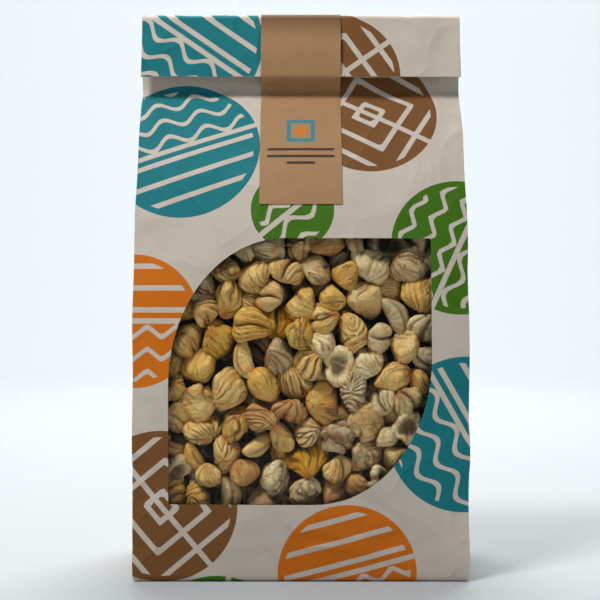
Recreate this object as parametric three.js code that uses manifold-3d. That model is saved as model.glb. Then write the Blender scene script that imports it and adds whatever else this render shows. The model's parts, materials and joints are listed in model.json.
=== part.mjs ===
// A block-bottom paper bag of dried, peeled chestnuts, standing on its flat base.
// The top is pressed flat, folded over towards the front and held by a paper label strip.
// A leaf-shaped window in the front panel is closed by a clear film, and the nuts lie against it.
// Millimetres, +Z up, the front faces -Y, origin at the middle of the base.
import * as THREE from "three";
import { mergeVertices } from "three/addons/utils/BufferGeometryUtils.js";
import Module from "manifold-3d";

const wasm = await Module();
wasm.setup();

// The bag
const PANEL_WIDTH = 160;
const BASE_DEPTH = 80;
const BAG_HEIGHT = 278;
const CLOSE_Z = 240; // where the front and back panels meet
const SLOPE_POWER = 4.6; // how late the panels lean in on their way up
const CROWN = 6; // how far the filled panels bow out at half height
const CROWN_POWER = 2.4;
const SIDE_BULGE = 2.5;
const GUSSET_STARTS_Z = 105; // the side creases fold in from here
const GUSSET_FULL_Z = 200;
const GUSSET_ENDS_Z = 228; // above this the folded sides are pressed flat
const PAPER = 0.8; // paper wall, drawn thick enough to be a solid
const STACK = 2; // both panels and the folded sides, pressed flat
const BASE_EDGE = 2.5; // sloping edge round the base
const FLAP_LENGTH = 32;
const FOLD_RADIUS = 1.8; // of the middle of the stack
const FLAP_FLARE = 4; // the flap's free edge stands off the bag

// The window and its film
const WINDOW_LEFT = -62.8;
const WINDOW_RIGHT = 62.1;
const WINDOW_BOTTOM = 37.1;
const WINDOW_TOP = 163.4;
const LEAF_ARC_X = 55.3; // the two round corners are quarter ellipses
const LEAF_ARC_Z = 69.5;
const FILM_MARGIN = 7;
const FILM = 0.4;
const GAP = 0.3; // between pieces that touch
const FILM_CLEAR = 1.5; // between the film and the nuts

// The label strip
const LABEL_WIDTH = 40;
const LABEL = 0.6;
const LABEL_GAP = 0.35;
const LABEL_FRONT_Z = 180;
const LABEL_MEETS_Z = 241; // where it comes down from the flap onto the front panel
const LABEL_BACK_Z = 196;

// The nuts
const FILL_Z = 190;
const CORE_RECESS = 10; // the core lies this far behind the film
const NUT_COUNT = 260;
const NUT_SEED = 20241;
const NUT_RADIUS_LEAST = 6.0;
const NUT_RADIUS_RANGE = 3.9;
const NUT_FRONT = 0.86; // a nut's middle stays this share of its radius behind the film
const PILE_HALF_WIDTH = 72; // the nuts are drawn in this part of the filled room
const PILE_BOTTOM = 28;
const PILE_TOP = 174;
const PILE_DEPTH = 28;
const NUT_NEST = 0.9; // neighbours lie this share of their radii apart
const SETTLE_STEPS = 160;
const SETTLE_PUSH = 0.42;
const SETTLE_PULL = 0.25; // mm towards the film at each step
const SETTLE_DROP = 0.03; // mm downwards at each step
const SHOWN_MARGIN = 4; // nuts are fused this far past the window
const SHOWN_DEPTH = 10;
const LUMP_SIDES = 6;
const LUMP_BANDS = 4;

// Half-axes of each kind of nut, as shares of its radius, how common the kind is, and how
// far in radians it may lean from its upright pose
const NUT_KINDS = [
  { name: "ribbed", axes: [1.1, 0.84, 1.02], share: 0.24, lean: 2.6 },
  { name: "plump", axes: [1.08, 0.86, 1.0], share: 0.18, lean: 2.8 },
  { name: "cleft", axes: [1.12, 0.86, 0.98], share: 0.22, lean: 2.0 },
  { name: "cup", axes: [1.1, 0.7, 1.04], share: 0.09, lean: 0.9 },
  { name: "crumpled", axes: [1.1, 0.84, 0.94], share: 0.13, lean: 3.0 },
  { name: "sliver", axes: [1.05, 0.5, 0.55], share: 0.07, lean: 1.6 },
  { name: "wedge", axes: [1.05, 0.8, 0.9], share: 0.07, lean: 2.6 },
];

const HALF_WIDTH = PANEL_WIDTH / 2;
const HALF_DEPTH = BASE_DEPTH / 2;
const FOLD_Z = BAG_HEIGHT - FOLD_RADIUS - STACK / 2; // centre of the fold
const FOLD_ARC = Math.PI * FOLD_RADIUS;
const FLAP_RUN = FLAP_LENGTH - (BAG_HEIGHT - FOLD_Z);
const SPINE_LENGTH = FOLD_Z + FOLD_ARC + FLAP_RUN;
const FILL_FACE = PAPER + GAP + FILM + FILM_CLEAR; // nuts stay this far behind the paper's face

// Heights of the bag's sections
const FILLED_HEIGHTS = [14, 28, 42, 56, 70, 84, 98, 112, 126, 138, 150, 161, 171, 181];
const SHOULDER_HEIGHTS = [198, 205, 211, 217, 223, 228, 232, 236, 240, 246];

function range(from, to, steps) {
  return Array.from({ length: steps + 1 }, (_, i) => from + ((to - from) * i) / steps);
}

const clamp = (value, low, high) => Math.min(Math.max(value, low), high);

function smoothStep(low, high, value) {
  const t = clamp((value - low) / (high - low), 0, 1);
  return t * t * (3 - 2 * t);
}

// Half the distance between the front and back panels at their edges, at height z.
function edgeDepth(z) {
  const filled = HALF_DEPTH * (1 - Math.pow(Math.max(z, 0) / CLOSE_Z, SLOPE_POWER));
  const flat = STACK / 2;
  const blend = 1.2;
  return 0.5 * (filled + flat + Math.sqrt((filled - flat) ** 2 + blend * blend));
}

// The same anywhere across the panel, which bows out.
function panelDepth(x, z) {
  const t = clamp(z / CLOSE_Z, 0, 1);
  const across = Math.min(Math.abs(x) / HALF_WIDTH, 1);
  return edgeDepth(z) + CROWN * 4 * t * (1 - t) * (1 - Math.pow(across, CROWN_POWER));
}

// How far the crease down the middle of each side is folded in.
function gussetFold(z) {
  const depth = Math.min(edgeDepth(z), HALF_DEPTH);
  const folded = smoothStep(GUSSET_STARTS_Z, GUSSET_FULL_Z, z);
  const pressed = smoothStep(GUSSET_ENDS_Z, CLOSE_Z, z);
  return Math.sqrt(HALF_DEPTH ** 2 - depth ** 2) * folded * (1 - pressed);
}

// Half the bag's width at distance y from its middle plane, moved in by a wall of that thickness.
function sideWidth(y, z, wall) {
  const depth = edgeDepth(z);
  const share = Math.min(Math.abs(y) / depth, 1);
  const fold = gussetFold(z);
  const t = Math.min(z / GUSSET_FULL_Z, 1);
  const bulge = SIDE_BULGE * 4 * t * (1 - t);
  return HALF_WIDTH - fold * (1 - share) + bulge * (1 - share * share) - wall * Math.hypot(1, fold / depth);
}

// The bag's outline at height z as [x, y] points, each wall moved in by its own distance.
function section(z, front = 0, back = 0, side = 0) {
  const across = range(-1, 1, 10);
  const deep = range(-1, 1, 6).slice(1, -1);
  const yFront = edgeDepth(z) - front;
  const yBack = edgeDepth(z) - back;
  const frontHalf = sideWidth(yFront, z, side);
  const backHalf = sideWidth(yBack, z, side);
  const sideRow = deep.map((t) => t * (t < 0 ? yFront : yBack));
  return [
    ...across.map((t) => [t * frontHalf, -(panelDepth(t * frontHalf, z) - front)]),
    ...sideRow.map((y) => [sideWidth(y, z, side), y]),
    ...across.map((t) => [-t * backHalf, panelDepth(t * backHalf, z) - back]),
    ...sideRow.reverse().map((y) => [-sideWidth(y, z, side), y]),
  ];
}

// The line that the paper follows: up the middle of the bag, over the fold and down the flap.
function spine(s) {
  if (s <= FOLD_Z) return { y: 0, z: s, ny: 1, nz: 0 };
  if (s <= FOLD_Z + FOLD_ARC) {
    const turn = (s - FOLD_Z) / FOLD_RADIUS;
    const [ny, nz] = [Math.cos(turn), Math.sin(turn)];
    return { y: FOLD_RADIUS * (ny - 1), z: FOLD_Z + FOLD_RADIUS * nz, ny, nz };
  }
  const run = s - FOLD_Z - FOLD_ARC;
  const flare = FLAP_FLARE * (run / FLAP_RUN) ** 2;
  return { y: -2 * FOLD_RADIUS - flare, z: FOLD_Z - run, ny: -1, nz: 0 };
}

// A point at distance n behind the spine; in front of it n is negative.
function fromSpine(x, n, s) {
  const at = spine(s);
  return [x, at.y + n * at.ny, at.z + n * at.nz];
}

function geometryOf(points, faces) {
  const geometry = new THREE.BufferGeometry();
  geometry.setAttribute("position", new THREE.Float32BufferAttribute(points.flat(), 3));
  geometry.setIndex(faces.flat());
  return geometry;
}

// Rings of points, each joined to the next, with both ends closed.
function loft(rings) {
  const count = rings[0].length;
  const points = rings.flat();
  const faces = [];
  rings.slice(1).forEach((_, row) => {
    for (let i = 0; i < count; i++) {
      const [a, b] = [row * count + i, row * count + ((i + 1) % count)];
      faces.push([a, b, b + count], [a, b + count, a + count]);
    }
  });
  [rings[0], rings[rings.length - 1]].forEach((ring, end) => {
    const first = end ? (rings.length - 1) * count : 0;
    const middle = points.length;
    points.push([0, 1, 2].map((axis) => ring.reduce((sum, p) => sum + p[axis], 0) / count));
    for (let i = 0; i < count; i++) {
      const [a, b] = [first + i, first + ((i + 1) % count)];
      faces.push(end ? [a, b, middle] : [b, a, middle]);
    }
  });
  return geometryOf(points, faces);
}

// A thin sheet between two grids of points, outer[row][column] and inner[row][column].
function sheet(outer, inner) {
  const [rows, columns] = [outer.length, outer[0].length];
  const points = [...outer.flat(), ...inner.flat()];
  const under = rows * columns;
  const faces = [];
  const quad = (a, b, c, d) => faces.push([a, b, c], [a, c, d]);
  const at = (row, column) => row * columns + column;
  for (let r = 0; r < rows - 1; r++) {
    for (let c = 0; c < columns - 1; c++) {
      const corners = [at(r, c), at(r, c + 1), at(r + 1, c + 1), at(r + 1, c)];
      quad(...corners);
      quad(...corners.reverse().map((i) => i + under));
    }
    const [low, high] = [at(r, 0), at(r + 1, 0)];
    const [lowEnd, highEnd] = [at(r, columns - 1), at(r + 1, columns - 1)];
    quad(low, high, high + under, low + under);
    quad(highEnd, lowEnd, lowEnd + under, highEnd + under);
  }
  for (let c = 0; c < columns - 1; c++) {
    quad(at(0, c + 1), at(0, c), at(0, c) + under, at(0, c + 1) + under);
    quad(at(rows - 1, c), at(rows - 1, c + 1), at(rows - 1, c + 1) + under, at(rows - 1, c) + under);
  }
  return geometryOf(points, faces);
}

function solidOf(geometry) {
  const bare = geometry.clone();
  bare.deleteAttribute("normal");
  bare.deleteAttribute("uv");
  const merged = mergeVertices(bare, 1e-4);
  const vertProperties = new Float32Array(merged.attributes.position.array);
  const triVerts = new Uint32Array(merged.index.array);
  return new wasm.Manifold(new wasm.Mesh({ numProp: 3, vertProperties, triVerts }));
}

function geometryFrom(solid) {
  const mesh = solid.getMesh();
  const geometry = new THREE.BufferGeometry();
  geometry.setAttribute("position", new THREE.BufferAttribute(new Float32Array(mesh.vertProperties), 3));
  geometry.setIndex(new THREE.BufferAttribute(new Uint32Array(mesh.triVerts), 1));
  return geometry;
}

// Two opposite corners are square and two are round, grown outwards by a margin.
function leafOutline() {
  const leaf = new THREE.Shape();
  leaf.moveTo(WINDOW_LEFT, WINDOW_BOTTOM);
  leaf.lineTo(WINDOW_RIGHT - LEAF_ARC_X, WINDOW_BOTTOM);
  leaf.absellipse(
    WINDOW_RIGHT - LEAF_ARC_X, WINDOW_BOTTOM + LEAF_ARC_Z, LEAF_ARC_X, LEAF_ARC_Z, -Math.PI / 2, 0, false,
  );
  leaf.lineTo(WINDOW_RIGHT, WINDOW_TOP);
  leaf.lineTo(WINDOW_LEFT + LEAF_ARC_X, WINDOW_TOP);
  leaf.absellipse(
    WINDOW_LEFT + LEAF_ARC_X, WINDOW_TOP - LEAF_ARC_Z, LEAF_ARC_X, LEAF_ARC_Z, Math.PI / 2, Math.PI, false,
  );
  leaf.closePath();
  return leaf;
}

// A leaf-shaped cutter that passes through the front panel alone.
function windowCutter() {
  const [near, far] = [15, 60];
  const cutter = new THREE.ExtrudeGeometry(leafOutline(), {
    depth: far - near,
    bevelEnabled: false,
    curveSegments: 10,
  });
  return cutter.rotateX(Math.PI / 2).translate(0, -near, 0);
}

// Rings of the room inside a wall, whose lowest ring follows the sloping edge of the base.
function roomRings(heights, front, wall) {
  const inset = BASE_EDGE + PAPER / 2 + wall - PAPER;
  const lowest = section(wall, front + inset - wall, inset, inset).map(([x, y]) => [x, y, wall]);
  const rings = [BASE_EDGE + wall, ...heights].map((z) =>
    section(z, front, wall, wall).map(([x, y]) => [x, y, z]),
  );
  return [lowest, ...rings];
}

function paperBag() {
  const heights = [BASE_EDGE, ...FILLED_HEIGHTS, FILL_Z, ...SHOULDER_HEIGHTS];
  const base = section(0, BASE_EDGE, BASE_EDGE, BASE_EDGE).map(([x, y]) => [x, y, 0]);
  const foldStops = range(FOLD_Z, FOLD_Z + FOLD_ARC, 6);
  const flapStops = range(FOLD_Z + FOLD_ARC, SPINE_LENGTH, 3).slice(1);
  const stops = [...heights, ...foldStops, ...flapStops];
  const rings = stops.map((s) => section(s).map(([x, n]) => fromSpine(x, n, s)));
  const outside = solidOf(loft([base, ...rings]));
  const roomTop = CLOSE_Z - 3;
  const roomHeights = [...heights.filter((z) => z > BASE_EDGE && z < roomTop), roomTop];
  const room = solidOf(loft(roomRings(roomHeights, PAPER, PAPER)));
  return geometryFrom(outside.subtract(room).subtract(solidOf(windowCutter())));
}

function windowFilm() {
  const columns = range(WINDOW_LEFT - FILM_MARGIN, WINDOW_RIGHT + FILM_MARGIN, 10);
  const rows = range(WINDOW_BOTTOM - FILM_MARGIN, WINDOW_TOP + FILM_MARGIN, 12);
  const face = (behind) => rows.map((z) => columns.map((x) => [x, behind - panelDepth(x, z), z]));
  return sheet(face(PAPER + GAP), face(PAPER + GAP + FILM));
}

function labelStrip() {
  const columns = range(-LABEL_WIDTH / 2, LABEL_WIDTH / 2, 4);
  const backStops = [...range(LABEL_BACK_Z, CLOSE_Z, 7), 250, 262];
  const foldStops = range(FOLD_Z, FOLD_Z + FOLD_ARC, 6);
  const flapStops = range(FOLD_Z + FOLD_ARC, SPINE_LENGTH, 3).slice(1);
  const overStops = [...backStops, ...foldStops, ...flapStops];
  const frontStops = range(LABEL_MEETS_Z, LABEL_FRONT_Z, 10);
  const face = (away) => [
    ...overStops.map((s) => columns.map((x) => fromSpine(x, panelDepth(x, s) + away, s))),
    ...frontStops.map((z) => columns.map((x) => [x, -panelDepth(x, z) - away, z])),
  ];
  return sheet(face(LABEL_GAP + LABEL), face(LABEL_GAP)).scale(-1, 1, 1);
}

// The same draw on every run: a plain multiplicative generator.
function makeRandom(seed) {
  let state = seed;
  return () => (state = (state * 16807) % 2147483647) / 2147483647;
}

// The face that the nuts lie against, at x and z.
const fillFace = (x, z) => FILL_FACE - panelDepth(x, z);

function kindOf(draw) {
  let sum = 0;
  return NUT_KINDS.find((kind) => (sum += kind.share) > draw) ?? NUT_KINDS[0];
}

// Nuts scattered behind the front panel, then pushed apart and against the film as if shaken down.
function settleNuts() {
  const random = makeRandom(NUT_SEED);
  const nuts = Array.from({ length: NUT_COUNT }, () => {
    const x = (random() * 2 - 1) * PILE_HALF_WIDTH;
    const z = PILE_BOTTOM + (PILE_TOP - PILE_BOTTOM) * random();
    const y = fillFace(x, z) + random() * PILE_DEPTH;
    const radius = NUT_RADIUS_LEAST + NUT_RADIUS_RANGE * random();
    const kind = kindOf(random());
    const [lean, spin, roll] = [random(), random(), random()];
    const turn = [(lean - 0.5) * kind.lean, spin * 2 * Math.PI, (roll - 0.5) * kind.lean];
    return { at: [x, y, z], radius, kind, turn };
  });
  for (let step = 0; step < SETTLE_STEPS; step++) {
    const moves = nuts.map(() => [0, -SETTLE_PULL, -SETTLE_DROP]);
    nuts.forEach((a, i) => {
      for (let j = i + 1; j < NUT_COUNT; j++) {
        const b = nuts[j];
        const apart = a.at.map((v, axis) => v - b.at[axis]);
        const distance = Math.sqrt(apart[0] ** 2 + apart[1] ** 2 + apart[2] ** 2);
        const reach = (a.radius + b.radius) * NUT_NEST;
        if (distance >= reach) continue;
        const push = (SETTLE_PUSH * (reach - distance)) / Math.max(distance, 0.001);
        apart.forEach((v, axis) => {
          moves[i][axis] += v * push;
          moves[j][axis] -= v * push;
        });
      }
    });
    nuts.forEach(({ at, radius }, i) => {
      const x = clamp(at[0] + moves[i][0], -PILE_HALF_WIDTH, PILE_HALF_WIDTH);
      const z = clamp(at[2] + moves[i][2], PILE_BOTTOM, PILE_TOP);
      const film = fillFace(x, z);
      at[0] = x;
      at[1] = clamp(at[1] + moves[i][1], film + radius * NUT_FRONT, film + PILE_DEPTH);
      at[2] = z;
    });
  }
  return nuts;
}

// A lump with few sides, of the nut's own size and turn, moved back until it clears the film.
function nutLump({ at, radius, kind, turn }) {
  const lump = new THREE.SphereGeometry(radius, LUMP_SIDES, LUMP_BANDS);
  lump.scale(...kind.axes);
  lump.rotateX(turn[0]).rotateY(turn[1]).rotateZ(turn[2]);
  lump.translate(...at);
  const { array } = lump.attributes.position;
  let clear = 0;
  for (let i = 0; i < array.length; i += 3) {
    clear = Math.max(clear, fillFace(array[i], array[i + 2]) + GAP - array[i + 1]);
  }
  return lump.translate(0, clear, 0);
}

// Measured inwards from a round corner's centre lines: outside its quarter ellipse when above 1.
function cornerReach(right, up) {
  const across = Math.max(right, 0) / (LEAF_ARC_X + SHOWN_MARGIN);
  const along = Math.max(up, 0) / (LEAF_ARC_Z + SHOWN_MARGIN);
  return Math.hypot(across, along);
}

function showsInWindow({ at: [x, y, z] }) {
  const beside = x > WINDOW_LEFT - SHOWN_MARGIN && x < WINDOW_RIGHT + SHOWN_MARGIN;
  const level = z > WINDOW_BOTTOM - SHOWN_MARGIN && z < WINDOW_TOP + SHOWN_MARGIN;
  const lowCorner = cornerReach(x - (WINDOW_RIGHT - LEAF_ARC_X), WINDOW_BOTTOM + LEAF_ARC_Z - z);
  const highCorner = cornerReach(WINDOW_LEFT + LEAF_ARC_X - x, z - (WINDOW_TOP - LEAF_ARC_Z));
  return beside && level && lowCorner < 1 && highCorner < 1 && y - fillFace(x, z) < SHOWN_DEPTH;
}

// The room inside the bag up to the fill line, its front face at a distance behind the paper's.
function filledRoom(front) {
  return solidOf(loft(roomRings([...FILLED_HEIGHTS, FILL_Z], front, PAPER + GAP)));
}

// A core that fills the bag, with the nuts that show fused to its front.
function chestnutHeap() {
  const heap = settleNuts()
    .filter(showsInWindow)
    .reduce((sum, nut) => sum.add(solidOf(nutLump(nut))), filledRoom(FILL_FACE + CORE_RECESS));
  const pieces = heap.intersect(filledRoom(FILL_FACE)).decompose();
  return geometryFrom(pieces.reduce((best, piece) => (piece.volume() > best.volume() ? piece : best)));
}

function piece(name, geometry, look) {
  const mesh = new THREE.Mesh(geometry, new THREE.MeshStandardMaterial({ metalness: 0, ...look }));
  mesh.name = name;
  return mesh;
}

const bag = new THREE.Group();
bag.name = "bag_of_dried_chestnuts";
bag.add(
  piece("paper_bag", paperBag(), { color: "#cdc3b9", roughness: 0.85 }),
  piece("window_film", windowFilm(), {
    color: "#f4f4ee",
    roughness: 0.1,
    transparent: true,
    opacity: 0.15,
  }),
  piece("label_strip", labelStrip(), { color: "#a67c50", roughness: 0.9 }),
  piece("chestnuts", chestnutHeap(), { color: "#cdae6c", roughness: 0.7 }),
);

export default bag;
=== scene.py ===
"""A paper bag of dried chestnuts with a leaf-shaped window, on a plain studio floor."""

import json
import math
from typing import NamedTuple

import bpy
import numpy as np
from bpy.props import FloatProperty, FloatVectorProperty, IntProperty, PointerProperty
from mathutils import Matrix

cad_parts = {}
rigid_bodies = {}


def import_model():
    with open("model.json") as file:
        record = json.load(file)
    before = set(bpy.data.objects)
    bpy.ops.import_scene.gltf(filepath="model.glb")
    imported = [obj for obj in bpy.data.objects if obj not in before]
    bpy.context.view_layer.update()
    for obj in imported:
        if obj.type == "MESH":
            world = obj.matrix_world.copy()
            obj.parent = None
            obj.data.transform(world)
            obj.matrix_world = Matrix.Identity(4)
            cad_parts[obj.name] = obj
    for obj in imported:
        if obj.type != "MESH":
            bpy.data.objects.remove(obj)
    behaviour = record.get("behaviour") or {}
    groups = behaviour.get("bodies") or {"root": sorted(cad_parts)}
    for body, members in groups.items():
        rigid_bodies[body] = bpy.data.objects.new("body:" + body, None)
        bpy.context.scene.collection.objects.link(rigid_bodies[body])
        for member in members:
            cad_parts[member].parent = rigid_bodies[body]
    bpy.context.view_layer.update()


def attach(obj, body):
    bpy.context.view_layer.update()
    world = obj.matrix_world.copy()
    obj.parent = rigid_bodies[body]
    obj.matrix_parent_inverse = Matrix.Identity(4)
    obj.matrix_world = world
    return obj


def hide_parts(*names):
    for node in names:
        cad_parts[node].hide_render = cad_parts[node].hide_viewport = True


bl_info = {
    "name": "Bag of dried chestnuts",
    "version": (1, 0, 0),
    "blender": (4, 5, 0),
    "location": "View3D > Sidebar > Chestnut bag",
    "description": "Builds a paper window bag filled with dried chestnuts",
    "category": "Add Mesh",
}

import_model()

MM = 0.001
TURN = 2 * math.pi


def linear(hex_colour):
    """An sRGB hex colour as linear red, green and blue."""
    parts = [int(hex_colour[i : i + 2], 16) / 255 for i in (0, 2, 4)]
    return tuple(p / 12.92 if p <= 0.04045 else ((p + 0.055) / 1.055) ** 2.4 for p in parts)


# ---------------------------------------------------------------- settings


def length(name, description, default):
    return FloatProperty(name=name, description=description, default=default, unit="LENGTH")


def tint(name, description, hex_colour):
    return FloatVectorProperty(
        name=name, description=description, default=linear(hex_colour), subtype="COLOR"
    )


class PaperSettings(bpy.types.PropertyGroup):
    """Sizes and colours of the paper bag."""

    panel_width: length("Panel width", "Width of the front and back panels", 0.160)
    base_depth: length("Base depth", "Front to back at the flat base", 0.080)
    height: length("Height", "From the base to the top of the fold", 0.278)
    close_height: length("Closing height", "Where the front and back panels meet", 0.240)
    flap_length: length("Flap length", "How far the folded top hangs down in front", 0.032)
    thickness: length("Paper thickness", "Thickness of the paper at the window's edge", 0.00035)
    colour: tint("Paper", "Uncoated pale paper", "cdc0b2")
    teal: tint("Teal ink", "First ink of the printed discs", "0a767d")
    green: tint("Green ink", "Second ink of the printed discs", "3f6f04")
    brown: tint("Brown ink", "Third ink of the printed discs", "7b4f25")
    orange: tint("Orange ink", "Fourth ink of the printed discs", "d26d05")


class WindowSettings(bpy.types.PropertyGroup):
    """Sizes of the window and its film."""

    left: length("Left", "Left edge of the window", -0.0628)
    right: length("Right", "Right edge of the window", 0.0621)
    bottom: length("Bottom", "Bottom edge of the window", 0.0371)
    top: length("Top", "Top edge of the window", 0.1634)
    arc_across: length("Corner across", "Width of the two round corners", 0.0553)
    arc_up: length("Corner up", "Height of the two round corners", 0.0695)
    film_margin: length("Film margin", "How far the film reaches behind the paper", 0.007)


class LabelSettings(bpy.types.PropertyGroup):
    """Sizes and colours of the label strip."""

    width: length("Width", "Width of the strip", 0.040)
    front_end: length("Front end", "Height of the strip's lower edge in front", 0.180)
    back_end: length("Back end", "Height of the strip's lower edge behind", 0.196)
    thickness: length("Thickness", "Thickness of the strip", 0.0003)
    colour: tint("Kraft", "Unbleached kraft paper", "a67d52")
    square: tint("Square", "Ink of the square on the strip", "2c7f8c")
    lozenge: tint("Lozenge", "Ink of the lozenge on the strip", "c9741a")
    bars: tint("Bars", "Ink of the bars on the strip", "35210f")


class NutSettings(bpy.types.PropertyGroup):
    """The pile of nuts behind the window."""

    count: IntProperty(name="Count", description="Nuts in the pile", default=260)
    seed: IntProperty(name="Seed", description="Starts the draw of places and sizes", default=20241)
    least_radius: length("Least radius", "Radius of the smallest nut", 0.0060)
    radius_range: length("Radius range", "The largest nut is this much more in radius", 0.0039)
    cream: tint("Cream", "The palest flesh", "fdeab6")
    straw: tint("Straw", "The most common flesh", "f9d384")
    tan: tint("Tan", "Darker, duller flesh", "e2b06c")
    gold: tint("Gold", "The few bright yellow nuts", "e8b01c")
    grey: tint("Grey", "Duller, greyish flesh", "d8c49c")
    yellow: tint("Yellow", "Flesh with more yellow in it", "f4c658")
    furrow: tint("Furrow", "Thin brown skin left in the furrows", "6e4019")


class StageSettings(bpy.types.PropertyGroup):
    """The camera."""

    camera_distance: length("Camera distance", "From the camera to the bag's middle plane", 0.600)
    camera_height: length("Camera height", "Height of the level camera", 0.1339)
    lens: FloatProperty(
        name="Lens", description="Focal length in millimetres on a 36 mm sensor", default=70.77
    )


# ---------------------------------------------------------------- shape of the bag

CLOSING_POWER = 4.6  # how late the panels lean in on their way up
CROWN = 6.0  # how far the filled panels bow out
CROWN_POWER = 2.4
SIDE_BULGE = 2.5
GUSSET_STARTS = 105.0  # the sides start to fold in, are folded, and are pressed flat here
GUSSET_FULL = 200.0
GUSSET_ENDS = 228.0
STACK = 2.0  # both panels and the folded sides, pressed flat
PINCH = 1.2  # how softly the panels run into the pressed stack
BASE_EDGE = 2.5
FOLD_RADIUS = 1.8
FLAP_FLARE = 4.0  # how far the flap's edge stands off
FLAP_BULGE = 1.0  # the flap bows out between its fold and its edge
PATH_STEPS = 700


def smooth_step(low, high, value):
    t = np.clip((value - low) / (high - low), 0, 1)
    return t * t * (3 - 2 * t)


class BagShape:
    """Where the bag's walls lie, in millimetres. u runs round the sheet and s up it."""

    def __init__(self, paper):
        self.half_width = paper.panel_width / MM / 2
        self.half_depth = paper.base_depth / MM / 2
        self.close_z = paper.close_height / MM
        self.fold_z = paper.height / MM - FOLD_RADIUS - STACK / 2
        self.fold_end = self.fold_z + math.pi * FOLD_RADIUS
        self.flap_run = (paper.flap_length - paper.height) / MM + self.fold_z
        self.length = self.fold_end + self.flap_run
        self.side_start = self.half_width
        self.back_start = self.half_width + 2 * self.half_depth
        self.side_end = self.back_start + 2 * self.half_width
        self.once_round = 4 * (self.half_width + self.half_depth)

    def edge_depth(self, z):
        """Half the distance between the panels at their edges."""
        lean = np.power(np.maximum(z, 0) / self.close_z, CLOSING_POWER)
        filled, flat = self.half_depth * (1 - lean), STACK / 2
        return 0.5 * (filled + flat + np.sqrt((filled - flat) ** 2 + PINCH**2))

    def panel_depth(self, x, z):
        """The same anywhere across a panel, which bows out."""
        t = np.clip(z / self.close_z, 0, 1)
        across = np.minimum(np.abs(x) / self.half_width, 1)
        bow = CROWN * 4 * t * (1 - t) * (1 - np.power(across, CROWN_POWER))
        return self.edge_depth(z) + bow

    def side_width(self, y, z):
        """Half the bag's width at y, where the sides fold in on their way up."""
        depth = self.edge_depth(z)
        share = np.minimum(np.abs(y) / depth, 1)
        inside = np.minimum(depth, self.half_depth)
        folded = smooth_step(GUSSET_STARTS, GUSSET_FULL, z)
        folded = folded * (1 - smooth_step(GUSSET_ENDS, self.close_z, z))
        fold = np.sqrt(self.half_depth**2 - inside**2) * folded
        t = np.minimum(z / GUSSET_FULL, 1)
        bulge = SIDE_BULGE * 4 * t * (1 - t)
        return self.half_width - fold * (1 - share) + bulge * (1 - share**2)

    def spine(self, s):
        """The middle of the paper's path: up, over the fold and down the flap."""
        turn = np.clip((s - self.fold_z) / FOLD_RADIUS, 0, math.pi)
        run = np.maximum(s - self.fold_end, 0)
        flare = FLAP_FLARE * (run / self.flap_run) ** 2
        y = FOLD_RADIUS * (np.cos(turn) - 1) - flare
        z = np.minimum(s, self.fold_z) + FOLD_RADIUS * np.sin(turn) - run
        return y, z, np.cos(turn), np.sin(turn)

    def from_spine(self, x, n, s):
        y, z, ny, nz = self.spine(s)
        return np.stack(np.broadcast_arrays(x, y + n * ny, z + n * nz), -1)

    def flap_bow(self, s):
        """0 at the fold and the flap's edge, and 1 halfway between them."""
        return np.sin(math.pi * np.clip((s - self.fold_end) / self.flap_run, 0, 1))

    def wall(self, u, s):
        """Points of the bag's outside at sheet places u and s."""
        depth = self.edge_depth(s)
        front = u <= self.side_start
        right = (u > self.side_start) & (u <= self.back_start)
        back = (u > self.back_start) & (u <= self.side_end)
        x_back = self.back_start + self.half_width - u
        n_right = depth * ((u - self.side_start) / self.half_depth - 1)
        n_left = depth * (1 - (u - self.side_end) / self.half_depth)
        n = np.select(
            [front, right, back],
            [-self.panel_depth(u, s), n_right, self.panel_depth(x_back, s)],
            n_left,
        )
        x = np.select(
            [front, right, back], [u, self.side_width(n_right, s), x_back],
            -self.side_width(n_left, s),
        )
        return self.from_spine(x, n, s)


def sheet_length(shape, s):
    """Length along the paper up to each s, which is more than the rise on a slope."""
    fine = np.linspace(0, shape.length, PATH_STEPS)
    steps = np.hypot(np.diff(fine), np.diff(shape.edge_depth(fine)))
    return np.interp(s, fine, np.concatenate([[0], np.cumsum(steps)]))


# Soft creases in each part of the sheet: u from and to, v from and to, how many, how high
CREASE_ZONES = [
    (10, 80, 2, 85, 26, 0.62),
    (-80, 10, 2, 70, 14, 0.38),
    (62, 80, 80, 240, 8, 0.35),
    (-80, -62, 60, 240, 8, 0.35),
    (-80, 80, 168, 245, 16, 0.30),
    (80, 160, 4, 235, 30, 0.65),
    (320, 400, 4, 235, 30, 0.65),
    (160, 320, 4, 240, 40, 0.55),
    (160, 320, 262, 320, 10, 0.16),
]
CREASE_SEED = 41
CREASE_REACH = (8, 30)  # half a crease's length
CREASE_WIDTH = (2.2, 5.0)
CREASE_CURVE = 0.004
CREASE_ROUND = 0.02  # how round a crease is along its top
CREASE_LIFT = 0.14  # about the root of that, so that its top has its full height


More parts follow.
